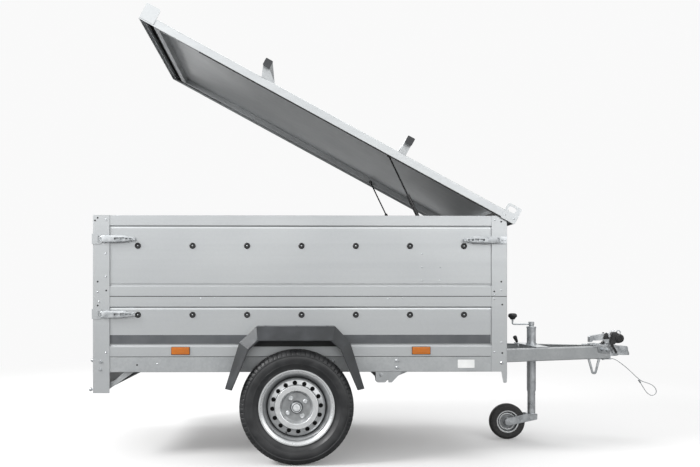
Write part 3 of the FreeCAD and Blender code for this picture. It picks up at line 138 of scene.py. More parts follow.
def hot_dip_zinc():
    """Hot-dip galvanised frame steel: grey zinc with faint crystals on a slightly lumpy, dull satin skin."""
    steel, place = blank("hot_dip_galvanised_steel")
    crystals = add(steel, "TexVoronoi", "Color", {"Vector": place, "Scale": 1 / (11 * MM)})
    clouds = add(steel, "TexNoise", "Fac", {"Vector": place, "Scale": 1 / (140 * MM), "Detail": 3.0})
    tone = add(steel, "Math", 0, {0: crystals, 1: 0.22, 2: clouds}, operation="MULTIPLY_ADD")
    lumps = add(steel, "TexNoise", "Fac", {"Vector": place, "Scale": 1 / (25 * MM), "Detail": 2.0})
    return shaded(steel, (tone, 0.35, 0.95), (linear("#A0A3A5"), linear("#B6B9BA")),
                  (lumps, 0.3 * MM, 0.2), {"Metallic": 0.8}, gloss=(0.52, 0.42))


def zinc_sheet():
    """Continuously galvanised sheet: tiny flat crystals and faint rolling marks, an even satin."""
    sheet, place = blank("galvanised_sheet_steel")
    # real crystals are 2 to 4 mm; drawn at 8 mm so that they show
    crystals = add(sheet, "TexVoronoi", "Color", {"Vector": place, "Scale": 1 / (8 * MM)})
    lengthways = add(sheet, "Mapping", 0, {"Vector": place, "Scale": (0.02, 1, 1)})
    rolling = add(sheet, "TexNoise", "Fac", {"Vector": lengthways, "Scale": 1 / (35 * MM), "Detail": 2.0})
    clouds = add(sheet, "TexNoise", "Fac", {"Vector": place, "Scale": 1 / (400 * MM), "Detail": 1.0})
    marks = add(sheet, "Math", 0, {0: rolling, 1: 0.5, 2: clouds}, operation="MULTIPLY_ADD")
    tone = add(sheet, "Math", 0, {0: crystals, 1: 0.12, 2: marks}, operation="MULTIPLY_ADD")
    spread = add(sheet, "MapRange", 0, {"Value": tone, "From Min": 0.45, "From Max": 1.15})
    fresh = add(sheet, "Mix", 2, {0: spread, 6: linear("#B4B7B9"), 7: linear("#C4C7C8")}, data_type="RGBA")
    satin = add(sheet, "MapRange", 0, {"Value": spread, "To Min": 0.4, "To Max": 0.32})
    # painted shade: the face on top of the lid is given a darker colour, with less metal and more roughness,
    # so that the lamps do not show it glaring white
    lid_top_shade = add(sheet, "VectorMath", "Value", {0: add(sheet, "TexCoord", "Normal", {}), 1: LID_UP},
                 operation="DOT_PRODUCT")
    zinc = add(sheet, "MapRange", 0, {"Value": lid_top_shade, "From Min": 0.93, "From Max": 0.99,
                                      "To Min": 0.85, "To Max": 0.4})
    return shaded(sheet, (lid_top_shade, 0.93, 0.99), (fresh, linear("#999C9E")), (rolling, 0.1 * MM, 0.15),
                  {"Metallic": zinc}, gloss=(satin, 0.62))


def worn(name, colours, patches, gloss, grain, inputs):
    """A surface that changes in patches from one colour and gloss to another, over a fine grain.
    patches: size, detail, and the range that the colours spread over; gloss: where it starts to
    change, and its two ends; grain: size, detail, depth and strength."""
    surface, place = blank(name)
    size, detail, low, high = patches
    wear = add(surface, "TexNoise", "Fac", {"Vector": place, "Scale": 1 / size, "Detail": detail})
    start, fresh, dull = gloss
    rough = add(surface, "MapRange", 0, {"Value": wear, "From Min": start, "From Max": 0.7,
                                         "To Min": fresh, "To Max": dull})
    size, detail, depth, strength = grain
    fine = add(surface, "TexNoise", "Fac", {"Vector": place, "Scale": 1 / size, "Detail": detail})
    return shaded(surface, (wear, low, high), [linear(colour) for colour in colours],
                  (fine, depth, strength), {"Roughness": rough, **inputs})


def metal(name, base, other, metallic, rough, wear_size):
    """A small metal part: wear of a size that changes its colour and dulls its gloss."""
    return worn(name, (base, other), (wear_size, 4.0, 0.35, 0.7), (0.35, rough, rough + 0.14),
                (wear_size / 2, 1.0, 0.05 * MM, 0.15), {"Metallic": metallic})


def rubber(name, base, dusty, rough, dust_size):
    """Moulded rubber: near black and matt, greyed in patches by road dust."""
    return worn(name, (base, dusty), (dust_size, 5.0, 0.42, 0.75), (0.3, rough, rough + 0.15),
                (2 * MM, 3.0, 0.12 * MM, 0.4), {})


def moulded_black(name, base, hazed, rough, grain_size):
    """Moulded black plastic: a spark-eroded grain of a real size, hazed where it is worn."""
    return worn(name, (base, hazed), (90 * MM, 3.0, 0.4, 0.75), (0.3, rough, rough + 0.15),
                (grain_size, 2.0, 0.12 * MM, 0.45), {})


def vinyl_film(name, base, other, rough):
    """Adhesive vinyl film: smooth, with a faint orange peel from the sheet under it."""
    return worn(name, (base, other), (70 * MM, 3.0, 0.35, 0.7), (0.3, rough, rough),
                (6 * MM, 2.0, 0.08 * MM, 0.3), {"Coat Weight": 0.2, "Coat Roughness": 0.2})


def wheel_lacquer(name, centre, rings):
    """Silver wheel lacquer: aluminium flake under a clear coat, with painted highlights on the raised rings
    and painted shade in the dish, grooves and recesses between them; rings holds (radius in mm, how light it
    is painted)."""
    paint, place = blank(name)
    # flake is under 0.1 mm; drawn at 1.2 mm so that it shows
    flake = add(paint, "TexNoise", "Fac", {"Vector": place, "Scale": 1 / (1.2 * MM), "Detail": 2.0})
    dust = add(paint, "TexNoise", "Fac", {"Vector": place, "Scale": 1 / (35 * MM), "Detail": 4.0})
    off_centre = add(paint, "VectorMath", 0, {0: place, 1: centre}, operation="SUBTRACT")
    in_disc = add(paint, "VectorMath", 0, {0: off_centre, 1: (1, 0, 1)}, operation="MULTIPLY")
    radius = add(paint, "VectorMath", "Value", {0: in_disc}, operation="LENGTH")
    share = add(paint, "MapRange", 0, {"Value": radius, "From Max": 200 * MM})
    # painted light and shade: a ramp over the radius, light on the raised rings, dark in the dish, grooves
    # and recesses
    ring_light_and_shade = add(paint, "ValToRGB", "Color", {"Fac": share})
    stops = ring_light_and_shade.node.color_ramp.elements
    stops.remove(stops[0])
    for reach, light in rings:
        stops.new(reach / 200).color = (light, light, light, 1)
    specks = add(paint, "Math", 0, {0: flake, 1: 0.25, 2: dust}, operation="MULTIPLY_ADD")
    tone = add(paint, "Math", 0, {0: specks, 1: 0.55, 2: ring_light_and_shade}, operation="MULTIPLY_ADD")
    return shaded(paint, (tone, 0.3, 1.35), (linear("#6A6D6F"), linear("#DFE1E2")), None,
                  {"Metallic": 0.65, "Coat Weight": 0.35, "Coat Roughness": 0.12}, gloss=(0.42, 0.24))


def acrylic_lens(name, deep, bright, pitch):
    """Moulded acrylic lens: square prisms of a real pitch under a glossy face."""
    acrylic, place = blank(name)
    # one band of a wave texture is pi / (10 * scale) across
    across, upright = [add(acrylic, "TexWave", "Fac", {"Vector": place, "Scale": math.pi / (10 * pitch)},
                           bands_direction=way) for way in "XZ"]
    prisms = add(acrylic, "Math", 0, {0: across, 1: upright}, operation="ADD")
    return shaded(acrylic, (prisms, 0.2, 1.8), (linear(deep), linear(bright)), (prisms, 0.4 * MM, 0.4),
                  {"Roughness": 0.14, "IOR": 1.49, "Coat Weight": 0.6, "Coat Roughness": 0.04})


def faced_plywood():
    """Phenolic-faced birch plywood: dark brown film pressed with a wire mesh."""
    board, place = blank("phenolic_faced_plywood")
    # the pressed mesh has a 5 mm pitch; drawn at 10 mm so that it shows
    pitch = 10 * MM
    mirrored = add(board, "Mapping", 0, {"Vector": place, "Scale": (1, -1, 1)})
    one_way, other_way = [add(board, "TexWave", "Fac", {"Vector": way, "Scale": math.pi / (10 * pitch)},
                              bands_direction="DIAGONAL") for way in (place, mirrored)]
    mesh = add(board, "Math", 0, {0: one_way, 1: other_way}, operation="ADD")
    lengthways = add(board, "Mapping", 0, {"Vector": place, "Scale": (0.08, 1, 1)})
    veneer = add(board, "TexNoise", "Fac", {"Vector": lengthways, "Scale": 1 / (40 * MM), "Detail": 5.0})
    tone = add(board, "Math", 0, {0: mesh, 1: 0.25, 2: veneer}, operation="MULTIPLY_ADD")
    return shaded(board, (tone, 0.4, 1.1), (linear("#38291F"), linear("#6A5445")), (mesh, 0.3 * MM, 0.5),
                  {"Roughness": 0.5})


def wire_rope():
    """Galvanised wire rope: strands wound round a core under a clear sheath."""
    rope, place = blank("sheathed_wire_rope")
    # strands are 0.6 mm; drawn at 2.2 mm so that they show
    strands = add(rope, "TexWave", "Fac", {"Vector": place, "Scale": math.pi / (10 * 2.2 * MM)},
                  bands_direction="DIAGONAL")
    return shaded(rope, (strands, 0.0, 1.0), (linear("#73777A"), linear("#BEC2C4")),
                  (strands, 0.3 * MM, 0.7),
                  {"Metallic": 0.9, "Roughness": 0.38, "Coat Weight": 0.5, "Coat Roughness": 0.1})


FRAME_STEEL = hot_dip_zinc()
SHEET = zinc_sheet()
ZINC = metal("bright_zinc_plate", "#AEB2B5", "#C9CCCE", 0.9, 0.26, 30 * MM)
WASHED_ZINC = metal("matt_zinc_plate", "#C9CCCE", "#E2E4E5", 0.6, 0.38, 12 * MM)
# radius in mm, how light: painted highlights on the raised ring and the rim's lip, painted shade in the dish,
# the groove at 139 mm and the rim's steps
LACQUER = wheel_lacquer("silver_wheel_lacquer", wheel_at, [
    (30, 0.3), (71, 0.3), (77, 0.95), (103, 0.95), (108, 0.45), (136, 0.45), (139, 0.05), (147, 0.1),
    (152, 0.35), (164, 0.4), (169, 0.8), (174, 0.85), (176, 0.45), (178, 0.9)])
# painted shade in the jockey rim's deep recesses, painted highlights on its flange edge and raised rings
JOCKEY_LACQUER = wheel_lacquer("silver_jockey_lacquer", jockey_at, [
    (6, 0.1), (8, 0.1), (10, 0.7), (17, 0.7), (19, 0.05), (38, 0.1), (41, 0.9), (48, 0.9), (50, 0.05),
    (55, 0.1), (57, 0.9)])
TYRE = rubber("tyre_rubber", "#1A1B1D", "#2E2F30", 0.38, 60 * MM)
SOLID_RUBBER = rubber("solid_rubber", "#1F1F20", "#3A3937", 0.6, 9 * MM)
SEAL = rubber("seal_rubber", "#151616", "#242526", 0.65, 20 * MM)
GUARD = moulded_black("guard_polypropylene", "#292B2D", "#3A3C3F", 0.33, 2.2 * MM)
NYLON = moulded_black("fitting_nylon", "#111213", "#222324", 0.36, 1.2 * MM)
AMBER = acrylic_lens("amber_acrylic", "#934504", "#CB7616", 4 * MM)
RED = acrylic_lens("red_acrylic", "#7A0E0C", "#C22A22", 5 * MM)
CLEAR = acrylic_lens("clear_acrylic", "#B9BDC0", "#ECEEEF", 5 * MM)
PLYWOOD = faced_plywood()
STRIPE = vinyl_film("dark_grey_vinyl", "#494C4F", "#54575A", 0.42)
FOIL = vinyl_film("blank_label_foil", "#E3E4E3", "#D6D8D8", 0.35)
ENAMEL = metal("black_enamel", "#131415", "#1D1E1F", 0.0, 0.22, 25 * MM)
NITRIDED = metal("black_nitrided_steel", "#18191B", "#232527", 0.6, 0.18, 30 * MM)
CAST = metal("cast_hub_iron", "#55585A", "#6A6D6F", 0.7, 0.45, 8 * MM)
ROPE = wire_rope()

FINISHES = {
    # the record's material slot: the material that shows it
    "galvanised_frame": FRAME_STEEL, "galvanised_sheet": SHEET, "zinc_plated": ZINC,
    "silver_wheel_paint": LACQUER, "tyre_rubber": TYRE, "jockey_rubber": SOLID_RUBBER,
    "black_plastic": GUARD, "orange_lens": AMBER, "red_lens": RED, "plywood": PLYWOOD,
    "black_paint": ENAMEL, "nitrided_rod": NITRIDED, "cast_hub": CAST, "cable_sheath": ROPE,
}
for subpart in frame["record"]["subparts"]:
    shown = frame["nodes"][subpart["node"]].data
    shown.materials.clear()
    shown.materials.append(JOCKEY_LACQUER if subpart["node"] == "jockey_rim"
                           else FINISHES[subpart["material_slot"]])


# ---- camera, light and floor -----------------------------------------

scene = bpy.context.scene
scene.view_settings.view_transform = "Standard"

side_view = bpy.data.cameras.new("side_view")
side_view.lens = 41.25
side_view.sensor_width = 36
side_view.shift_x = 0.058
side_view.shift_y = 0.086
camera = bpy.data.objects.new("side_view", side_view)
camera.location = (-0.4444, -4.530, 0.8225)
camera.rotation_euler = (math.radians(90), 0, math.radians(-1.1))
scene.collection.objects.link(camera)
scene.camera = camera


def softbox(name, place, aim, wide, tall, watts):
    """A soft rectangular lamp that faces a point."""
    light = bpy.data.lights.new(name, "AREA")
    light.shape = "RECTANGLE"
    light.size = wide
    light.size_y = tall
    light.energy = watts
    lamp = bpy.data.objects.new(name, light)
    lamp.location = place
    lamp.rotation_euler = (Vector(aim) - Vector(place)).to_track_quat("-Z", "Y").to_euler()
    scene.collection.objects.link(lamp)


softbox("key_light", (-5.0, -2.6, 4.2), (0, -0.4, 0.6), 2.2, 1.6, 340)
softbox("fill_light", (3.2, -5.2, 2.6), (0.6, 0, 1.0), 2.0, 2.0, 30)
softbox("top_light", (0.6, 0.8, 5.6), (0, 0, 0.8), 5.0, 2.4, 95)
softbox("rear_light", (-2.4, 4.6, 3.2), (0, 0, 0.8), 4.0, 2.6, 80)


def seen(paper):
    """1 where the eye looks at the backdrop, straight or through a clear part."""
    eye = add(paper, "LightPath", "Is Camera Ray", {})
    through = add(paper, "LightPath", "Is Transmission Ray", {})
    return add(paper, "Math", 0, {0: eye, 1: through}, operation="ADD", use_clamp=True)


room = bpy.data.worlds.new("studio_room")
room.use_nodes = True
room.node_tree.nodes.clear()
way = add(room, "TexCoord", "Generated", {})
height = add(room, "SeparateXYZ", "Z", {0: way})
across = add(room, "SeparateXYZ", "Y", {0: way})
# walls darker than the ceiling, which gives upright sheet a soft gradient
wall = add(room, "MapRange", 0, {"Value": height, "From Min": -0.05, "From Max": 0.22, "To Min": 0.24,
                                 "To Max": 2.0}, interpolation_type="SMOOTHSTEP")
ceiling = add(room, "MapRange", 0, {"Value": height, "From Min": 0.35, "From Max": 0.8, "To Min": 1.0,
                                    "To Max": 0.5}, interpolation_type="SMOOTHSTEP")
# the wall on the right side is a white screen; the others are plain
screen = add(room, "MapRange", 0, {"Value": across, "From Min": -0.8, "From Max": -0.1, "To Min": 1.0,
                                   "To Max": 0.7}, interpolation_type="SMOOTHSTEP")
room_light = add(room, "Math", 0, {0: wall, 1: ceiling}, operation="MULTIPLY")
walls = add(room, "Math", 0, {0: room_light, 1: screen}, operation="MULTIPLY")
brightness = add(room, "MapRange", 0, {"Value": seen(room), "To Min": walls, "To Max": 0.95})
backdrop = add(room, "Background", 0, {"Color": linear("#FFFFFF"), "Strength": brightness})
add(room, "OutputWorld", None, {"Surface": backdrop})
scene.world = room


def floor_paper():
    """Matt white paper: keeps the shadow by the object and runs out into the white room."""
    paper, place = blank("white_studio_paper")
    # the part is lit as over a grey floor, while the eye sees white paper
    tone = add(paper, "Mix", 2, {0: seen(paper), 6: linear("#8E8E8E"), 7: linear("#DCDCDC")},
               data_type="RGBA")
    matt = add(paper, "BsdfDiffuse", 0, {"Color": tone})
    white = add(paper, "Emission", 0, {"Color": linear("#FFFFFF"), "Strength": 0.95})
    distance = add(paper, "VectorMath", "Value", {0: place}, operation="LENGTH")
    far = add(paper, "MapRange", 0, {"Value": distance, "From Min": 1.6, "From Max": 6.0,
                                     "To Min": 0.12}, interpolation_type="SMOOTHSTEP")
    glow = add(paper, "Math", 0, {0: far, 1: seen(paper)}, operation="MULTIPLY")
    surface = add(paper, "MixShader", 0, {0: glow, 1: matt, 2: white})
    add(paper, "OutputMaterial", None, {"Surface": surface})
    return paper


# ---- mesh tools ------------------------------------------------------
# Lengths are in mm: ahead of the box's rear, to the left of the middle, and above the ground.

def at(x, y, z):
    """A place in mm from the box's rear, the middle and the ground, in metres in the frame."""
    return Vector((rear_x + x * MM, y * MM, z * MM))


def from_rear(x):
    """How far a place in the frame lies ahead of the box's rear, in mm."""
    return (x - rear_x) / MM


def round_axle(centre, radius, angle, across=0.0):
    """A place in mm round an axle through a centre, and along the axle to the left."""
    return centre + Vector((radius * math.cos(angle), across, radius * math.sin(angle))) * MM


def bent(points, radius):
    """A path with its inner corners eased to curves of about a radius."""
    points = [Vector(point) for point in points]
    steps = 5
    path = [points[0]]
    for before, corner, after in zip(points, points[1:], points[2:]):
        reach = min(radius, 0.49 * (before - corner).length, 0.49 * (after - corner).length)
        start = corner + (before - corner).normalized() * reach
        stop = corner + (after - corner).normalized() * reach
        for step in range(steps + 1):
            share = step / steps
            path.append(start.lerp(corner, share).lerp(corner.lerp(stop, share), share))
    return path + [points[-1]]


def joined(mesh, rings, closed=False, capped=False, paint=0):
    """Join rings of points with faces. A ring may be a single point; the last may join the first, or
    both ends may be capped."""
    for low, high in zip(rings, rings[1:] + rings[:1] if closed else rings[1:]):
        steps = max(len(low), len(high))
        for step in range(steps):
            after = (step + 1) % steps
            face = list(dict.fromkeys([low[step % len(low)], low[after % len(low)],
                                       high[after % len(high)], high[step % len(high)]]))
            if len(face) > 2:
                mesh.faces.new(face).material_index = paint
    if capped:
        mesh.faces.new(rings[0][::-1])
        mesh.faces.new(rings[-1])


def turned(mesh, place, axis, profile, steps=32, paint=0, closed=False, start=0.0):
    """Turn a profile of (radius, distance along the axis), in mm, about an axis."""
    turn = Vector(axis).to_track_quat("Z", "Y").to_matrix()
    rings = []
    for radius, along in profile:
        angles = [0] if radius == 0 else [start + step * math.tau / steps for step in range(steps)]
        rings.append([mesh.verts.new(place + turn @ Vector(
            (radius * math.cos(angle), radius * math.sin(angle), along)) * MM) for angle in angles])
    joined(mesh, rings, closed, paint=paint)


def rod(mesh, points, radius, steps=12, loop=False):
    """A round rod, in mm radius, along a path in metres."""
    points = [Vector(point) for point in points]
    rings = []
    side = None
    for index, point in enumerate(points):
        before = points[index - 1] if index or loop else point
        after = points[(index + 1) % len(points)] if loop or index < len(points) - 1 else point
        ahead = (after - before).normalized()
        side = ahead.orthogonal() if side is None else side - side.dot(ahead) * ahead
        side.normalize()
        up = ahead.cross(side)
        rings.append([mesh.verts.new(point + radius * MM * (
            math.cos(step * math.tau / steps) * side + math.sin(step * math.tau / steps) * up))
            for step in range(steps)])
    joined(mesh, rings, closed=loop, capped=not loop)


def plate(mesh, place, across, up, outline, thick, holes=(), rounding=0.0, paint=0, ease=0.0):
    """A flat plate, in mm: an outline in two directions from a place, and a thickness towards
    across x up; its edges may be rounded and its corners eased."""
    across, up = Vector(across).normalized(), Vector(up).normalized()
    curve = bpy.data.curves.new("plate_outline", "CURVE")
    curve.dimensions = "2D"
    curve.fill_mode = "BOTH"
    curve.extrude = thick / 2 - rounding
    curve.bevel_depth = rounding
    curve.bevel_resolution = 2 if rounding else 0
    curve.offset = -rounding
    for line in (outline, *holes):
        points = [Vector((u, v, 0)) for u, v in line]
        if ease and line is outline:
            points = bent(points[-1:] + points + points[:1], ease)[1:-1]
        spline = curve.splines.new("POLY")
        spline.points.add(len(points) - 1)
        for knot, point in zip(spline.points, points):
            knot.co = (point.x, point.y, 0, 1)
        spline.use_cyclic_u = True
    holder = bpy.data.objects.new("plate_outline", curve)
    made = bpy.data.meshes.new_from_object(holder)
    bpy.data.objects.remove(holder)
    bpy.data.curves.remove(curve)
    turn = Matrix((across, up, across.cross(up))).transposed()
    first = len(mesh.verts)
    faces = len(mesh.faces)
    made.transform(Matrix.Translation(place) @ turn.to_4x4() @ Matrix.Scale(MM, 4)
                   @ Matrix.Translation((0, 0, thick / 2)))
    mesh.from_mesh(made)
    mesh.verts.ensure_lookup_table()
    mesh.faces.ensure_lookup_table()
    for face in mesh.faces[faces:]:
        face.material_index = paint
    bmesh.ops.remove_doubles(mesh, verts=mesh.verts[first:], dist=0.01 * MM)
    bpy.data.meshes.remove(made)


def rectangle(u_low, u_high, v_low, v_high):
    """A plate's outline."""
    return [(u_low, v_low), (u_high, v_low), (u_high, v_high), (u_low, v_high)]


def hex_bolt(mesh, place, axis, flats, tall, washer=0.0):
    """A hexagon bolt head, on a washer of a radius."""
    radius = flats / math.sqrt(3)
    base = 1.6 if washer else 0
    if washer:
        turned(mesh, place, axis, [
            (0, 0), (washer, 0), (washer, base - 0.4), (washer - 0.5, base), (0, base)], 28)
    turned(mesh, place, axis, [(0, base), (radius, base), (radius, base + tall - 1),
                               (radius - 1.2, base + tall), (0, base + tall)], 6)


def rivet(mesh, place, axis, radius):
    """A domed rivet head."""
    turned(mesh, place, axis, [(radius, 0), (radius * 0.94, radius * 0.28), (radius * 0.7, radius * 0.5),
                               (radius * 0.36, radius * 0.62), (0, radius * 0.66)], 16)


def as_object(mesh, name, *materials):
    """Make an object of a mesh and put it in the scene."""
    data = bpy.data.meshes.new(name)
    mesh.to_mesh(data)
    mesh.free()
    for material in materials:
        data.materials.append(material)
    made = bpy.data.objects.new(name, data)
    scene.collection.objects.link(made)
    return made


def finished(mesh, name, body, *materials, crease=32, mirror=False):
    """Make an object of a mesh, with its twin on the left side if asked: shade it smooth up to its
    creases, in degrees, and let it ride on a body."""
    if mirror:
        twin = mesh.copy()
        bmesh.ops.scale(twin, vec=(1, -1, 1), verts=twin.verts)
        bmesh.ops.reverse_faces(twin, faces=twin.faces)
        spare = bpy.data.meshes.new("twin")
        twin.to_mesh(spare)
        twin.free()
        mesh.from_mesh(spare)
        bpy.data.meshes.remove(spare)
    bmesh.ops.recalc_face_normals(mesh, faces=mesh.faces)
    for face in mesh.faces:
        face.smooth = True
    piece = as_object(mesh, name, *materials)
    piece.data.set_sharp_from_angle(angle=math.radians(crease))
    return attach(piece, body)


floor_reach = 14000
floor_mesh = bmesh.new()
turned(floor_mesh, Vector((0, 0, -0.5 * MM)), UP, [(0, 0), (floor_reach, 0)], 48)
floor = as_object(floor_mesh, "studio_floor", floor_paper())


# ---- breakaway cable -------------------------------------------------

CABLE_ROUTE = [
    # ahead of the drawbar's front end, across, height: down the coupling to the loop at its end
    (6, -42, 457), (28, -42, 457), (64, -42, 433), (101, -42, 404), (131, -42, 376),
    (157, -42, 351), (184, -42, 329), (216, -41, 320), (248, -40, 307), (269, -39, 284),
    (270, -38, 259), (247, -37, 245), (222, -37, 257), (198, -37, 288), (179, -37, 322),
]
cable_radius = 2 * MM

line = bpy.data.curves.new("breakaway_rope", "CURVE")
line.dimensions = "3D"
line.bevel_depth = cable_radius
line.bevel_resolution = 3
line.resolution_u = 16
line.use_fill_caps = True
route = line.splines.new("NURBS")
route.points.add(len(CABLE_ROUTE) - 1)
for knot, (ahead, y, z) in zip(route.points, CABLE_ROUTE):
    knot.co = (bar_front + ahead * MM, y * MM, z * MM, 1)
route.order_u = 3
route.use_endpoint_u = True
line.materials.append(ROPE)
rope = bpy.data.objects.new("breakaway_rope", line)
scene.collection.objects.link(rope)
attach(rope, "drawbar")
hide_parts("breakaway_cable")

# the ferrule clamps the loop's end to the cable where it comes down
ferrule_mesh = bmesh.new()
ferrule_at = Vector(route.points[-1].co[:3])
ferrule_way = (Vector(route.points[5].co[:3]) - ferrule_at).normalized()
turned(ferrule_mesh, ferrule_at - ferrule_way * 2 * MM, ferrule_way,
       [(0, 0), (4, 0), (4.8, 1), (4.8, 20), (4, 21), (0, 21)], 20)
ferrule = finished(ferrule_mesh, "cable_ferrule", "drawbar", ZINC)


# ---- box: buttons, film, label and fasteners -------------------------

box_long = from_rear(post_high.x)
skin = -post_low.y / MM                 # outer face of the corner posts
band = -board_low.y / MM                # outer face of the boards' bands
flat = band - 4                         # outer face of the boards' flats
top = upper_high.z / MM
seam = upper_low.z / MM
sill = board_low.z / MM                 # underside of the boards

button_rows = (top - 151, seam - 91)    # one on each board
button_count = 7
button_first = 220
button_pitch = 270
button_seat = 4.6                       # bottom of a button's dish, where its screw sits
buttons = bmesh.new()
for count in range(button_count):
    for height in button_rows:
        spot = at(button_first + count * button_pitch, -flat, height)
        turned(buttons, spot, RIGHT, [(0, 0), (15.5, 0), (15.5, 2.5), (14, 5.5), (11.5, 7), (9, 6.4),
                                      (8, button_seat), (0, button_seat)], 28)
        turned(buttons, spot + RIGHT * button_seat * MM, RIGHT, [(3.4, 0), (3.2, 0.8), (2.2, 1.5), (0, 1.7)],
               20, paint=1)
finished(buttons, "tarp_buttons", "box", NYLON, ZINC, mirror=True)

post_edge = 83                          # inner edge of a corner post, from the box's end
stripe_long = box_long - 165
stripe_tall = 44
stripe = bmesh.new()
plate(stripe, at(post_edge, -flat, sill + 64), AHEAD, UP, rectangle(0, stripe_long, 0, stripe_tall), 0.4)
finished(stripe, "side_stripe", "box", STRIPE, mirror=True)

# painted shade: dark strips in the joints between the boards, along their lower edges, and across the front
# posts, where the gaps lie in shade
joint_shade_strips = bmesh.new()
for height, tall in ((seam, 3.4), (sill, 2)):
    plate(joint_shade_strips, at(post_edge, -band, height - tall / 2), AHEAD, UP,
          rectangle(0, box_long - 2 * post_edge, 0, tall), 0.3)
plate(joint_shade_strips, at(box_long - 81, -skin, seam - 1.6), AHEAD, UP, rectangle(0, 79, 0, 3.2), 0.3)
finished(joint_shade_strips, "board_joint_shade", "box", SEAL, mirror=True)

label = bmesh.new()                     # blank plate on the side beam
plate(label, at(box_long - 247, -band, sill - 57), AHEAD, UP, rectangle(0, 84, 0, 41), 0.5, ease=3)
finished(label, "blank_label", "box", FOIL)

HOLE_SHADE_SPOTS = [
    # ahead, height: open holes in the corner posts, each covered by a dark disc of painted shade
    (24, top - 14), (11, top - 27), (24, seam + 73), (66, seam + 29), (24, seam - 45),
    (box_long - 30, top - 30), (box_long - 30, seam + 73), (box_long - 65, seam + 24),
    (box_long - 25, seam - 41), (box_long - 25, sill + 17),
]
POST_RIVETS = [
    # ahead, height
    (24, seam + 21), (31, seam - 25), (64, seam + 212), (64, seam + 99), (66, top - 22), (66, sill + 22),
    (box_long - 64, top - 22), (box_long - 64, seam + 10), (box_long - 64, seam - 12),
    (box_long - 30, seam + 30), (box_long - 28, sill + 70), (box_long - 64, sill + 22),
]
FLAT_RIVETS = [
    # ahead, height, on the upper board's flat
    (box_long - 424, seam + 213), (box_long - 424, seam + 146), (box_long - 424, seam + 79),
    (box_long - 335, seam + 145), (box_long - 335, seam + 80),
]
holes = bmesh.new()
rivets = bmesh.new()
# painted shade: a thin dark disc on each hole, and on one in the side beam, stands in for the shade inside it
for spot in [at(x, -skin, height) for x, height in HOLE_SHADE_SPOTS] + [at(217, -band, sill - 40)]:
    turned(holes, spot, RIGHT, [(4.5, 0), (4.5, 0.3), (0, 0.3)], 16)
for x, height in POST_RIVETS:
    rivet(rivets, at(x, -skin, height), RIGHT, 4.5)
for x, height in FLAT_RIVETS:
    rivet(rivets, at(x, -flat, height), RIGHT, 4)
for x in (533, 600, box_long - 590, box_long - 523):
    rivet(rivets, at(x, -band, seam - 10), RIGHT, 3.2)
rivet(rivets, at(316, -band, sill - 35), RIGHT, 4)
finished(holes, "post_hole_shade", "box", NYLON, mirror=True)
finished(rivets, "post_rivets", "box", ZINC, mirror=True)

FRAME_BOLTS = [
    # ahead, out, height: on the corner posts below the boards
    (39, skin, sill - 24), (37, skin, sill - 61), (box_long - 27, skin, sill - 31),
    # on the side beams: guard stays, pivot hangers, axle saddles
    (1506, band, sill - 20), (1506, band, sill - 54), (1426, band, sill - 90),
    (1104, band, sill - 22), (1186, band, sill - 22),
]
bolts = bmesh.new()
for x, out, height in FRAME_BOLTS:
    hex_bolt(bolts, at(x, -out, height), RIGHT, 13, 6, 9)
# domed cap of the lower gate's hinge pin, behind the post
turned(bolts, at(1, 12 - skin, sill - 16), BACK, [
    (10, 0), (10, 4), (9.2, 8), (7, 11), (3.6, 12.6), (0, 13)], 28)
finished(bolts, "frame_bolts", "box", ZINC, mirror=True)


# ---- toggle latches on the sides -------------------------------------

LATCHES = [
    # root of the lever, direction of its tip, height, how far the bail reaches the other way
    (52, 1, top - 118, 13), (52, 1, seam - 89, 13), (box_long - 60, -1, top - 122, 22),
]
LEVER_SIDE = [
    # from the root, half height of the lever
    (-6, 15), (60, 17), (118, 12), (148, 7),
]
LEVER_SLOTS = [
    # from, to, half height of each opening in the lever's face
    (56, 78, 5), (84, 104, 6), (110, 122, 4.5), (128, 140, 3.5),
]


LATCH_PINS = (6, 46)                    # the lever's pivot, and the pin that pulls the bail
pin_out = 8.5
lever_out = 14.4                        # how far the lever's face stands off the post
lever_lip = 11.6                        # depth of the channel's sides
bail_half = 12


def toggle_latch(mesh, root, way, height, bail_reach):
    """An over-centre latch: base, channel lever with a rolled tip, pins and a wire bail."""
    place = at(root, -skin, height)
    along = AHEAD * way

    def spot(u, v, w):
        return place + (along * u + UP * v + RIGHT * w) * MM

    upright = UP * way                      # keeps each plate's thickness outwards
    edge = LEVER_SIDE + [(u, -v) for u, v in LEVER_SIDE[::-1]]
    if way < 0:
        edge = [(u, -v) for u, v in edge]
    plate(mesh, spot(0, 0, 0), along, upright, rectangle(0, 112, -18, 18), 2, rounding=0.6, ease=6)
    slots = [rectangle(low, high, -half, half) for low, high, half in LEVER_SLOTS]
    plate(mesh, spot(0, 0, lever_out), along, upright, edge, 1.6, holes=slots, rounding=0.6)
    inner = [(u * 0.985 + 1, v - math.copysign(1.8, v)) for u, v in edge]
    plate(mesh, spot(0, 0, 3), along, upright, edge, lever_lip, holes=[inner])
    turned(mesh, spot(153, -8, 12), UP, [(0, 0), (5, 0), (6, 1), (6, 15), (5, 16), (0, 16)], 18)
    for u in LATCH_PINS:
        rod(mesh, [spot(u, -19, pin_out), spot(u, 19, pin_out)], 2.6)
    for v in (-12, 12):
        for u in (98, 20):
            rivet(mesh, spot(u, v, 2), RIGHT, 3.6)
    bail = [(LATCH_PINS[1], bail_half), (-bail_reach, bail_half), (-bail_reach, -bail_half),
            (LATCH_PINS[1], -bail_half)]
    rod(mesh, bent([spot(u, v, pin_out) for u, v in bail], 7 * MM), 2.4)


latches = bmesh.new()
for latch in LATCHES:
    toggle_latch(latches, *latch)
latch_piece = finished(latches, "toggle_latches", "box", ZINC, mirror=True)
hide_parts("side_latches")

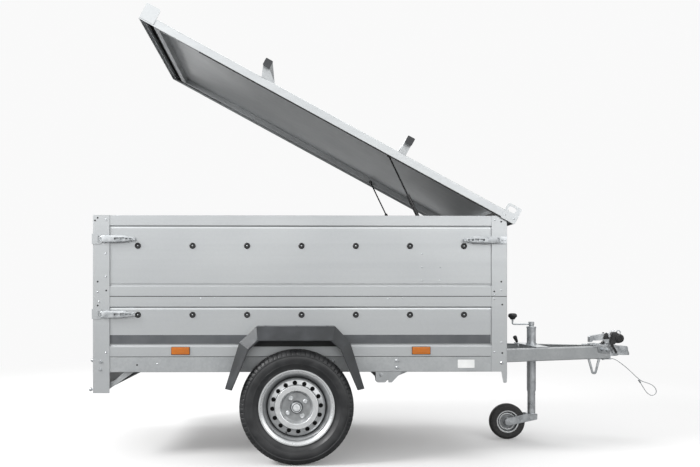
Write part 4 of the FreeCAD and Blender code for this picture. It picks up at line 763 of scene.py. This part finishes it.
keepers = bmesh.new()
plate(keepers, at(box_long - 60, -skin, top - 142), AHEAD, UP, rectangle(0, 58, 0, 38), 2.5,
      rounding=0.8, ease=5)
plate(keepers, at(box_long - 42, -skin - 2.5, top - 132), AHEAD, UP, rectangle(0, 5, 0, 20), 11,
      rounding=0.8)
for x in (box_long - 24, box_long - 12):
    rivet(keepers, at(x, -skin - 2.5, top - 122), RIGHT, 4)
finished(keepers, "front_latch_keepers", "box", ZINC, mirror=True)


# ---- side markers and tail lamps -------------------------------------

marker_long = 93
marker_tall = 40
marker_places = (385, box_long - 476)   # their rear ends
markers = bmesh.new()
for x in marker_places:
    foot = at(x, -band, sill + 10)
    plate(markers, foot, AHEAD, UP, rectangle(0, marker_long, 0, marker_tall), 3, ease=4, paint=1)
    plate(markers, foot + RIGHT * 3 * MM, AHEAD, UP, rectangle(2, marker_long - 2, 2, marker_tall - 2), 5,
          rounding=1.6, ease=4)
    plate(markers, foot + RIGHT * 8 * MM, AHEAD, UP, rectangle(24, marker_long - 24, 10, marker_tall - 10),
          1, rounding=0.4, ease=2)
marker_piece = finished(markers, "side_marker_lamps", "box", AMBER, NYLON, mirror=True)
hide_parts("side_markers")

lamp_low, lamp_high = corners("tail_lamps")
lamp_top = lamp_high.z / MM
lamp_foot = lamp_low.z / MM
lamp_out = -lamp_low.y / MM
lamp_front = from_rear(lamp_high.x)
body_deep = 12
lens_deep = lamp_front - body_deep      # the lenses reach back to the box's rear
lamp_wide = 210
LAMP_FIELDS = [
    # from the outer end, width, material
    (6, 62, 1), (70, 74, 0), (146, 58, 2),
]
lamps = bmesh.new()
plate(lamps, at(lamp_front, -lamp_out, lamp_foot), RIGHT, UP,
      rectangle(0, -lamp_wide, 0, lamp_top - lamp_foot), body_deep, rounding=1.5, ease=10, paint=3)
for start, wide, paint in LAMP_FIELDS:
    plate(lamps, at(lens_deep, start - lamp_out, lamp_foot + 6), RIGHT, UP,
          rectangle(0, -wide, 0, lamp_top - lamp_foot - 12), lens_deep, rounding=3, ease=5, paint=paint)
for start, wide, _ in LAMP_FIELDS[:2]:  # screws between the lenses
    turned(lamps, at(lens_deep, start + wide + 1 - lamp_out, lamp_foot + 35), BACK,
           [(0, 0), (4.5, 0), (4.5, 9), (3.6, 10), (2, 10), (2, 8.6), (0, 8.6)], 16, paint=3)
lamp_piece = finished(lamps, "tail_lamp_clusters", "box", RED, AMBER, CLEAR, NYLON, mirror=True)
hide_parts("tail_lamps")


# ---- wheels ----------------------------------------------------------

tyre_low, tyre_high = corners("tyre_right")
rim_low, rim_high = corners("rim_right")
tyre_radius = (tyre_high.z - tyre_low.z) / 2 / MM
tyre_half = (tyre_high.y - tyre_low.y) / 2 / MM
flange_radius = (rim_high.z - rim_low.z) / 2 / MM
rim_half = (rim_high.y - rim_low.y) / 2 / MM
tread_half = tyre_half - 24             # the shoulders round off outside this
tread_deep = 7
PITCHES = 72                            # tread blocks round the tyre
STEPS = PITCHES * 9
GROOVES = (-32, -11, 11, 32)            # middles of the grooves that run round the tread
groove_half = 4.2
crown_drop = 3.2                        # how much lower the tread is at its edges
rib_edge = 15                           # outer edge of the middle rib
block_edge = 36                         # inner edge of the shoulder blocks
slant_share = 0.17                      # share of a pitch that a shoulder groove takes
slit_share = 0.13                       # and that a slit in a rib takes


def tread_cut(turn, across):
    """Depth of the tread pattern at a share of a pitch and a distance from the middle, in mm."""
    for groove in GROOVES:
        if abs(across - groove) < groove_half:
            return tread_deep
    if abs(across) > block_edge:        # shoulder blocks, with slanted grooves between them
        slant = (turn + (abs(across) - block_edge) * 0.012) % 1
        return tread_deep * 0.6 if slant < slant_share else 0
    if abs(across) > rib_edge:          # ribs cut halfway by slanted slits
        slant = (turn + 0.5 - abs(across) * 0.02) % 1
        return tread_deep * 0.55 if slant < slit_share else 0
    return 0


def sidewall(side):
    """Profile from the tread's edge to the bead: shoulder, bulge, scuff rib, bead."""
    rise = tyre_radius - flange_radius
    points = [
        # share of the sidewall's height from its flange, distance from the middle
        (0.97, tread_half + 3), (0.93, tread_half + 8), (0.86, tread_half + 14), (0.79, tread_half + 18.5),
        (0.755, tyre_half - 4.4), (0.745, tyre_half - 2.0), (0.72, tyre_half - 1.2), (0.7, tyre_half - 1.5),
        (0.685, tyre_half - 2.6),
        (0.64, tyre_half - 0.8), (0.55, tyre_half), (0.42, tyre_half - 0.7), (0.32, tyre_half - 2.2),
        (0.31, tyre_half - 1.4), (0.28, tyre_half - 1.6), (0.27, tyre_half - 2.8), (0.16, tyre_half - 5.6),
        (0.1, tyre_half - 7.0), (0.03, tyre_half - 8.4),
    ]
    bend = 0.35                         # share below which the wall turns in to the rim
    reach = (rim_half - 8) - points[-1][1]
    walls = [(flange_radius + share * rise, side * (across + max(0, bend - share) / bend * reach))
             for share, across in points]
    return walls + [(flange_radius - 5, side * (rim_half - 9))]


def crown(across):
    """Radius of the tread's slightly domed face."""
    return tyre_radius - crown_drop * (across / tread_half) ** 2


# where the tread's profile has points: at the edges of its ribs and grooves, and between
marks = sorted({0} | {half * sign for half in (14.8, 15.4, 24, 35.6, 36.4, 46, tread_half)
                      for sign in (-1, 1)}
               | {groove + edge for groove in GROOVES for edge in (-4.6, -3.8, 3.8, 4.6)})


def tyre(name, hub_at, side):
    """A road tyre: bead to bead, with grooves and blocks cut into its crown."""
    mesh = bmesh.new()
    profile = sidewall(-1)[::-1] + [(None, mark) for mark in marks] + sidewall(1)
    shoulder = flange_radius + 0.78 * (tyre_radius - flange_radius)
    shoulder_deep = tread_deep * 0.25
    columns = []
    for step in range(STEPS):
        angle = step * math.tau / STEPS
        turn = step * PITCHES / STEPS % 1
        column = []
        for radius, across in profile:
            if radius is None:
                radius = crown(across) - tread_cut(turn, across)
            elif radius > shoulder and turn < slant_share:
                radius -= shoulder_deep
                across -= math.copysign(shoulder_deep, across)
            column.append(mesh.verts.new(round_axle(hub_at, radius, angle, side * across)))
        columns.append(column)
    for one, other in zip(columns, columns[1:] + columns[:1]):
        for low in range(len(profile) - 1):
            mesh.faces.new([one[low], one[low + 1], other[low + 1], other[low]])
    piece = finished(mesh, "tread_" + name, "wheel_" + name, TYRE, crease=38)
    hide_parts("tyre_" + name)


bolt_circle = 50
disc_face = 29                          # where the cap sits on the disc, outside the wheel's middle
first_bolt = 33                         # degrees from ahead
valve_radius = 146
valve_turn = math.radians(248)


def wheel_trim(name, hub_at, side):
    """Wheel bolts, hub cap and tyre valve of one wheel, and two dark rings of painted shade: one in the rim's
    groove, one behind the vents.
    """
    out = LEFT * side
    mesh = bmesh.new()
    for quarter in range(4):
        angle = math.radians(first_bolt + 90 * quarter)
        spot = round_axle(hub_at, bolt_circle, angle, side * (disc_face - 1))
        turned(mesh, spot, out, [(11.5, 0), (11.5, 2.4), (9.6, 4.4), (0, 4.4)], 24)
        turned(mesh, spot, out, [(9.2, 4), (9.2, 13.4), (7.6, 15), (5.4, 15), (4.6, 13.6), (0, 13.6)], 6,
               start=angle)
    cap = hub_at + out * disc_face * MM
    turned(mesh, cap, out, [(31, 0), (31, 1.5), (29, 3), (28.6, 21), (27.4, 22)], 40, paint=1)
    turned(mesh, cap, out, [(28, 20), (27.6, 21), (24.6, 21)], 40, paint=2)
    turned(mesh, cap, out, [
        (25, 20), (24.6, 25), (22.8, 27.4), (21.8, 26.8), (20, 26.8), (12, 27.4), (0, 27.6)], 40)
    valve = round_axle(hub_at, valve_radius, valve_turn, side * 10)
    lean = (out * 0.9 - Vector((math.cos(valve_turn), 0, math.sin(valve_turn))) * 0.42).normalized()
    turned(mesh, valve, lean, [(0, 0), (7, 0), (7, 3), (4.6, 8), (4, 22), (0, 22)], 16, paint=2)
    turned(mesh, valve + lean * 22 * MM, lean, [(0, 0), (3.8, 0), (4.4, 1), (4.4, 9), (3.6, 10), (0, 10)],
           16, paint=2)
    # painted shade: a dark ring in the rim's groove, then a dark disc behind the vents; radii, and from and
    # to along the axle
    for inner, outer, low, high in ((139, 145.4, 8.6, 10), (67, 142, -17, -15)):
        turned(mesh, hub_at, out, [(inner, low), (inner, high), (outer, high), (outer, low)],
               96, paint=2, closed=True)
    finished(mesh, "wheel_bolts_" + name, "wheel_" + name, WASHED_ZINC, CAST, NYLON)


for name, side in (("right", -1), ("left", 1)):
    hub_at = joint_at(f"wheel_{name}_spin")
    tyre(name, hub_at, side)
    wheel_trim(name, hub_at, side)


# ---- mudguards -------------------------------------------------------

guard_top = corners("mudguard_right")[1].z / MM
guard_middle = from_rear(wheel_at.x)
guard_fixings = bmesh.new()
for ahead in (-150, 0, 150):
    for out in (40, 95):
        turned(guard_fixings, at(guard_middle + ahead, -band - out, guard_top), UP,
               [(7, 0), (7, 0.3), (6, 0.6), (0, 0.6)], 24)
finished(guard_fixings, "mudguard_screws", "box", NYLON, mirror=True)

flange_half = 222
flange_slope = 44                       # how far its ends lean in
guard_flange = bmesh.new()
plate(guard_flange, at(guard_middle, -band, sill + 51), AHEAD, UP, [
    (-flange_half, 0), (flange_half, 0), (flange_half - flange_slope, 48), (flange_slope - flange_half, 48)],
      2.5, rounding=0.6)
finished(guard_flange, "mudguard_flanges", "box", GUARD, mirror=True)


# ---- crank and tilt lever --------------------------------------------

crank_low, crank_high = corners("jack_crank")
jack = from_rear(jack_at.x)
stem = from_rear(crank_low.x) + 25      # the knob's stem, behind the jockey leg
arm_z = crank_low.z / MM + 6
knob_z = crank_high.z / MM - 35
crank = bmesh.new()
rod(crank, bent([at(jack, 0, arm_z), at(stem, 0, arm_z), at(stem, 0, knob_z + 2)], 9 * MM), 5, 16)
turned(crank, at(jack, 0, arm_z - 6), UP, [
    (0, 0), (15, 0), (16, 1), (16, 18), (14.6, 20), (6, 20), (5.4, 19.4), (0, 19.4)], 36)
turned(crank, at(stem, 0, knob_z - 4), UP, [(0, 0), (8, 0), (8, 3), (0, 3)], 24)
crank_piece = finished(crank, "crank_arm", "drawbar", ZINC)
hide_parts("jack_crank")

knob = bmesh.new()
turned(knob, at(stem, 0, knob_z), UP, [
    (0, 0), (11, 0), (13, 1), (15, 5), (18.5, 10), (23.5, 14), (25, 17.5), (25, 22), (24, 23), (24, 25),
    (22.5, 29.5), (18, 33), (12, 34.6), (8, 34.8), (7, 33.4), (0, 33.2)], 40)
knob_piece = finished(knob, "crank_knob", "drawbar", NYLON)

tilt_low, tilt_high = corners("tilt_lever")
tilt_back = 34                          # from the lever to the plate's rear edge
tilt_x = from_rear(tilt_low.x) + tilt_back
tray_z = tilt_low.z / MM
tilt_half = tilt_high.y / MM
tilt_taper = 24                         # how much narrower the plate is at its front
tilt_steel = 5
tilt = bmesh.new()
plate(tilt, at(tilt_x, 0, tray_z), AHEAD, LEFT, [
    (-tilt_back, -tilt_half), (30, tilt_taper - tilt_half), (30, tilt_half - tilt_taper),
    (-tilt_back, tilt_half)], tilt_steel, rounding=0.8)
turned(tilt, at(tilt_x, 0, tray_z + tilt_steel), UP, [
    (0, 0), (13, 0), (13, 4), (11, 6), (7, 6), (7, 9), (0, 9)], 28)
for across in (-45, 45):
    hex_bolt(tilt, at(tilt_x + 12, across, tray_z + tilt_steel), UP, 13, 6, 11)
grip_lean = math.radians(24)
grip_way = Vector((-math.sin(grip_lean), 0, math.cos(grip_lean)))
grip_at = at(tilt_x - 9, 0, tray_z + 87)
rod(tilt, bent([at(tilt_x, 0, tray_z + 8), at(tilt_x, 0, tray_z + 62), grip_at + grip_way * 6 * MM], 18 * MM),
    4.5, 14)
tilt_piece = finished(tilt, "tilt_lever_rod", "drawbar", ZINC)
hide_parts("tilt_lever")

grip = bmesh.new()
turned(grip, grip_at, grip_way, [
    (0, 0), (6, 0), (7, 1), (7.6, 6), (8.8, 11), (8.2, 12), (9.8, 18), (9.2, 19),
    (11, 26), (11.4, 31), (10.6, 35), (8, 38), (4, 39.4), (0, 39.6)], 32)
finished(grip, "tilt_lever_grip", "drawbar", NYLON)


# ---- coupling --------------------------------------------------------

end_x = from_rear(bar_front)            # front end of the drawbar beams
back_z = plate_top / MM                 # top of the coupling's back plate
beam_foot = corners("drawbar_beams")[0].z / MM
beam_slope = math.atan(0.375)           # how far each beam turns in towards the coupling
along_beam = Vector((math.cos(beam_slope), math.sin(beam_slope), 0))
sleeve_out = Vector((math.sin(beam_slope), -math.cos(beam_slope), 0))
sleeve_long = 118
sleeve_at = at(end_x, -49, back_z) - along_beam * sleeve_long * MM
sleeve = bmesh.new()
plate(sleeve, sleeve_at + sleeve_out * 0.4 * MM, along_beam, UP, [
    (0, -7), (30, -10), (38, -37), (60, -43), (sleeve_long, -46), (sleeve_long, 0), (0, 0)],
    4, rounding=0.8, ease=4)
plate(sleeve, sleeve_at - sleeve_out * 22 * MM, along_beam, -sleeve_out,
      rectangle(34, sleeve_long, -26, 0)[::-1], 4, rounding=0.8)
for reach, drop in ((62, 22), (98, 26)):
    spot = sleeve_at + (along_beam * reach - UP * drop + sleeve_out * 4.4) * MM
    hex_bolt(sleeve, spot, sleeve_out, 19, 8, 13)
    turned(sleeve, spot + sleeve_out * 9.6 * MM, sleeve_out, [
        (0, 0), (5, 0), (5, 3.4), (4, 4.4), (0, 4.4)], 16)
for behind in (56, 20):
    hex_bolt(sleeve, at(end_x - behind, -36, back_z), UP, 13, 6, 10)
hex_bolt(sleeve, at(end_x - 39, -56, beam_foot), -UP, 13, 6, 8)
sleeve_piece = finished(sleeve, "coupling_bolts", "drawbar", ZINC, mirror=True)

# the parked plug with its cover: a rounded block with a ribbed disc on either side
cover_half = 21
cover = bmesh.new()
plate(cover, at(end_x, cover_half, back_z), AHEAD, UP, [
    (42, 2), (46, 9), (70, 9), (88, 20), (94, 36), (88, 52), (66, 62), (52, 72), (36, 74), (26, 62),
    (22, 36), (12, 6), (-14, 10), (-18, 20), (-26, 14), (-26, 2)], 2 * cover_half, rounding=4, ease=6)
for side in (-1, 1):
    turned(cover, at(end_x + 68, side * cover_half, back_z + 36), LEFT * side, [
        (0, 0), (25, 0), (25, 1), (23.6, 3), (18, 4), (17, 6), (10, 6), (9, 4.6), (0, 4.6)], 36)
for rise in (22, 30, 38, 46):
    plate(cover, at(end_x + 26, -cover_half, back_z + rise), AHEAD, UP, rectangle(0, 12, 0, 3), 1.6,
          rounding=0.4)
cover_piece = finished(cover, "plug_cover", "drawbar", NYLON)
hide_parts("coupling_plug")

# the handle's yoke: black cheeks with a bright pin, two tabs and a pull ring
CHEEK = [
    # behind the drawbar's front end, height
    (-10, 0), (22, -2), (24, 6), (14, 34), (6, 36), (-4, 20),
]
yoke = bmesh.new()
cheeks = bmesh.new()
for side in (-1, 1):
    turned(yoke, at(end_x - 4, side * 20, back_z + 46), LEFT * side, [
        (0, 0), (9.5, 0), (9.5, 2), (8.8, 2.6), (0, 2.6)], 28)
    outline = [(side * behind, rise) for behind, rise in CHEEK]
    plate(cheeks, at(end_x, side * 21.4, back_z + 34), AHEAD * -side, UP, outline[::-side], 3,
          rounding=0.6, ease=3)
finished(cheeks, "coupling_cheeks", "drawbar", ENAMEL)
hex_bolt(yoke, at(end_x + 6, -24.4, back_z + 50), RIGHT, 13, 6)
plate(yoke, at(end_x + 14, 7, back_z + 62), RIGHT, (0.62, 0, 0.78), rectangle(0, 14, 0, 24),
      2.5, rounding=0.5, ease=3)
plate(yoke, at(end_x + 36, 8, back_z + 68), RIGHT, (0.55, 0, 0.84), rectangle(0, 16, 0, 20),
      2.5, rounding=0.5, ease=3)
ring_at = at(end_x + 64, -14, back_z + 70)
rod(yoke, [round_axle(ring_at, 11, step * math.tau / 20) for step in range(20)], 3.2, loop=True)
finished(yoke, "coupling_yoke", "drawbar", ZINC)

strap = bmesh.new()                     # rubber strap down the coupling's right side
plate(strap, at(end_x - 4, -64, back_z + 6), (0.86, 0, 0.5), (-0.5, 0, 0.86),
      [(0, -60), (14, -60), (14, 0), (0, 0)], 2, rounding=0.6)
finished(strap, "coupling_strap", "drawbar", SEAL)


# ---- jockey wheel ----------------------------------------------------

jockey = from_rear(jockey_at.x)
jockey_z = jockey_at.z / MM
fork_half = corners("jockey_fork")[1].y / MM
nuts = bmesh.new()
for side in (-1, 1):
    out = LEFT * side
    turned(nuts, at(jockey, side * (fork_half - 9), jockey_z), out, [
        (0, 0), (15, 0), (15, 1.6), (14, 2.4), (10.5, 2.4), (10.5, 2), (0, 2)], 32)
    turned(nuts, at(jockey, side * (fork_half - 7), jockey_z), out, [
        (10.4, 0), (10.4, 6), (9, 7.4), (7.6, 7.4), (6.6, 4), (0, 4)], 6)
nut_piece = finished(nuts, "jockey_axle_nuts", "jockey_caster", ZINC)


# ---- lid: seals, strips of painted shade, rear fold and rivets -------

lid_half = corners("lid_sheet")[1].y / MM       # half the lid's width over its skirts
lid_rear = -from_rear(hinge_at.x) - 35  # the lid's rear edge, behind its hinge line
lid_front = 23
lid_sheet_z = 57                        # top of the sheet above the hinge line, lid shut
skirt_z = lid_sheet_z - 38              # lower edge of the skirts
strip_break = lid_rear + 340             # the left side's dark strip ends and the right side's begins here
seal_tall = lid_sheet_z - 4 - (top - hinge_at.z / MM)   # room over the box's rim under the shut lid


def on_lid(x, y, z):
    """A place on the open lid: mm ahead of its hinge line, to the left, and up with the lid shut."""
    return hinge_at + LID_TURN @ Vector((x, y, z)) * MM


def strip(mesh, start, stop, across, up, wide, tall):
    """A dark strip with a rounded lip from a place to another, wide and tall in mm: rubber seals, and strips
    of painted shade.
    """
    half = wide / 2
    section = [(-half, 0), (-half, tall * 0.7), (-half * 0.6, tall * 0.93), (0, tall),
               (half * 0.6, tall * 0.93), (half, tall * 0.7), (half, 0)]
    joined(mesh, [[mesh.verts.new(end + (across * u + up * v) * MM) for u, v in section]
                  for end in (start, stop)], capped=True)


# painted shade: dark strips along the skirts' inner faces, on the right from the break ahead and on the left
# behind it, where the gap between skirt and sheet lies in shade
SIDE_SHADE_STRIPS = [
    # to the left, above the skirt's edge, from, to
    (3 - lid_half, 8, strip_break, -30), (lid_half - 3, 24, lid_rear + 26, strip_break),
]
seals_and_shade_strips = bmesh.new()
for y, rise, start, stop in SIDE_SHADE_STRIPS:
    strip(seals_and_shade_strips, on_lid(start, y, skirt_z + rise), on_lid(stop, y, skirt_z + rise), LEFT, -LID_UP, 3, 14)
for x in (lid_rear + 14, lid_rear + 48):
    ends = [on_lid(x, side * (lid_half - 8), lid_sheet_z - 3) for side in (-1, 1)]
    strip(seals_and_shade_strips, *ends, LID_AHEAD, -LID_UP, 6, min(9, seal_tall))
finished(seals_and_shade_strips, "lid_seals_and_shade_strips", "lid", SEAL)

trim_wide = 2 * lid_half - 6
trim = bmesh.new()
plate(trim, on_lid(lid_rear + 1, 3 - lid_half, skirt_z + 16), LID_AHEAD, LEFT,
      rectangle(0, 23, 0, trim_wide), 1.2)
plate(trim, on_lid(lid_rear + 24, 3 - lid_half, skirt_z + 5), LEFT, LID_UP,
      rectangle(0, trim_wide, 0, 12), 1.2)
finished(trim, "lid_rear_fold", "lid", SHEET)

rail_y = lid_half - 38                  # middle of a frame rail
rivet_rows = 14
lid_rivets = bmesh.new()
for count in range(rivet_rows):
    ahead = lid_rear + 90 + count * (-lid_rear - 170) / (rivet_rows - 1)
    rivet(lid_rivets, on_lid(ahead, -rail_y, lid_sheet_z), LID_UP, 4.5)
for across in (-420, -140, 140, 420):
    rivet(lid_rivets, on_lid(lid_rear + 70, across, lid_sheet_z), LID_UP, 4.5)
for ahead in (lid_front - 66, lid_front - 16):
    rivet(lid_rivets, on_lid(ahead, -lid_half - 3, 36), RIGHT, 4)
finished(lid_rivets, "lid_rivets", "lid", ZINC, mirror=True)


# ---- gas struts ------------------------------------------------------

for side, inward in (("right", LEFT), ("left", RIGHT)):
    foot_at = joint_at("strut_pivot_" + side)
    clips = bmesh.new()
    turned(clips, foot_at - inward * 7 * MM, inward, [(0, 0), (8, 0), (8, 1.5), (0, 1.5)], 20)
    turned(clips, foot_at + inward * 5.2 * MM, inward, [
        (0, 0), (7.5, 0), (7.5, 1.2), (5, 1.4), (5, 4), (4, 5), (0, 5)], 20)
    finished(clips, "strut_foot_clips_" + side, "box", ZINC)
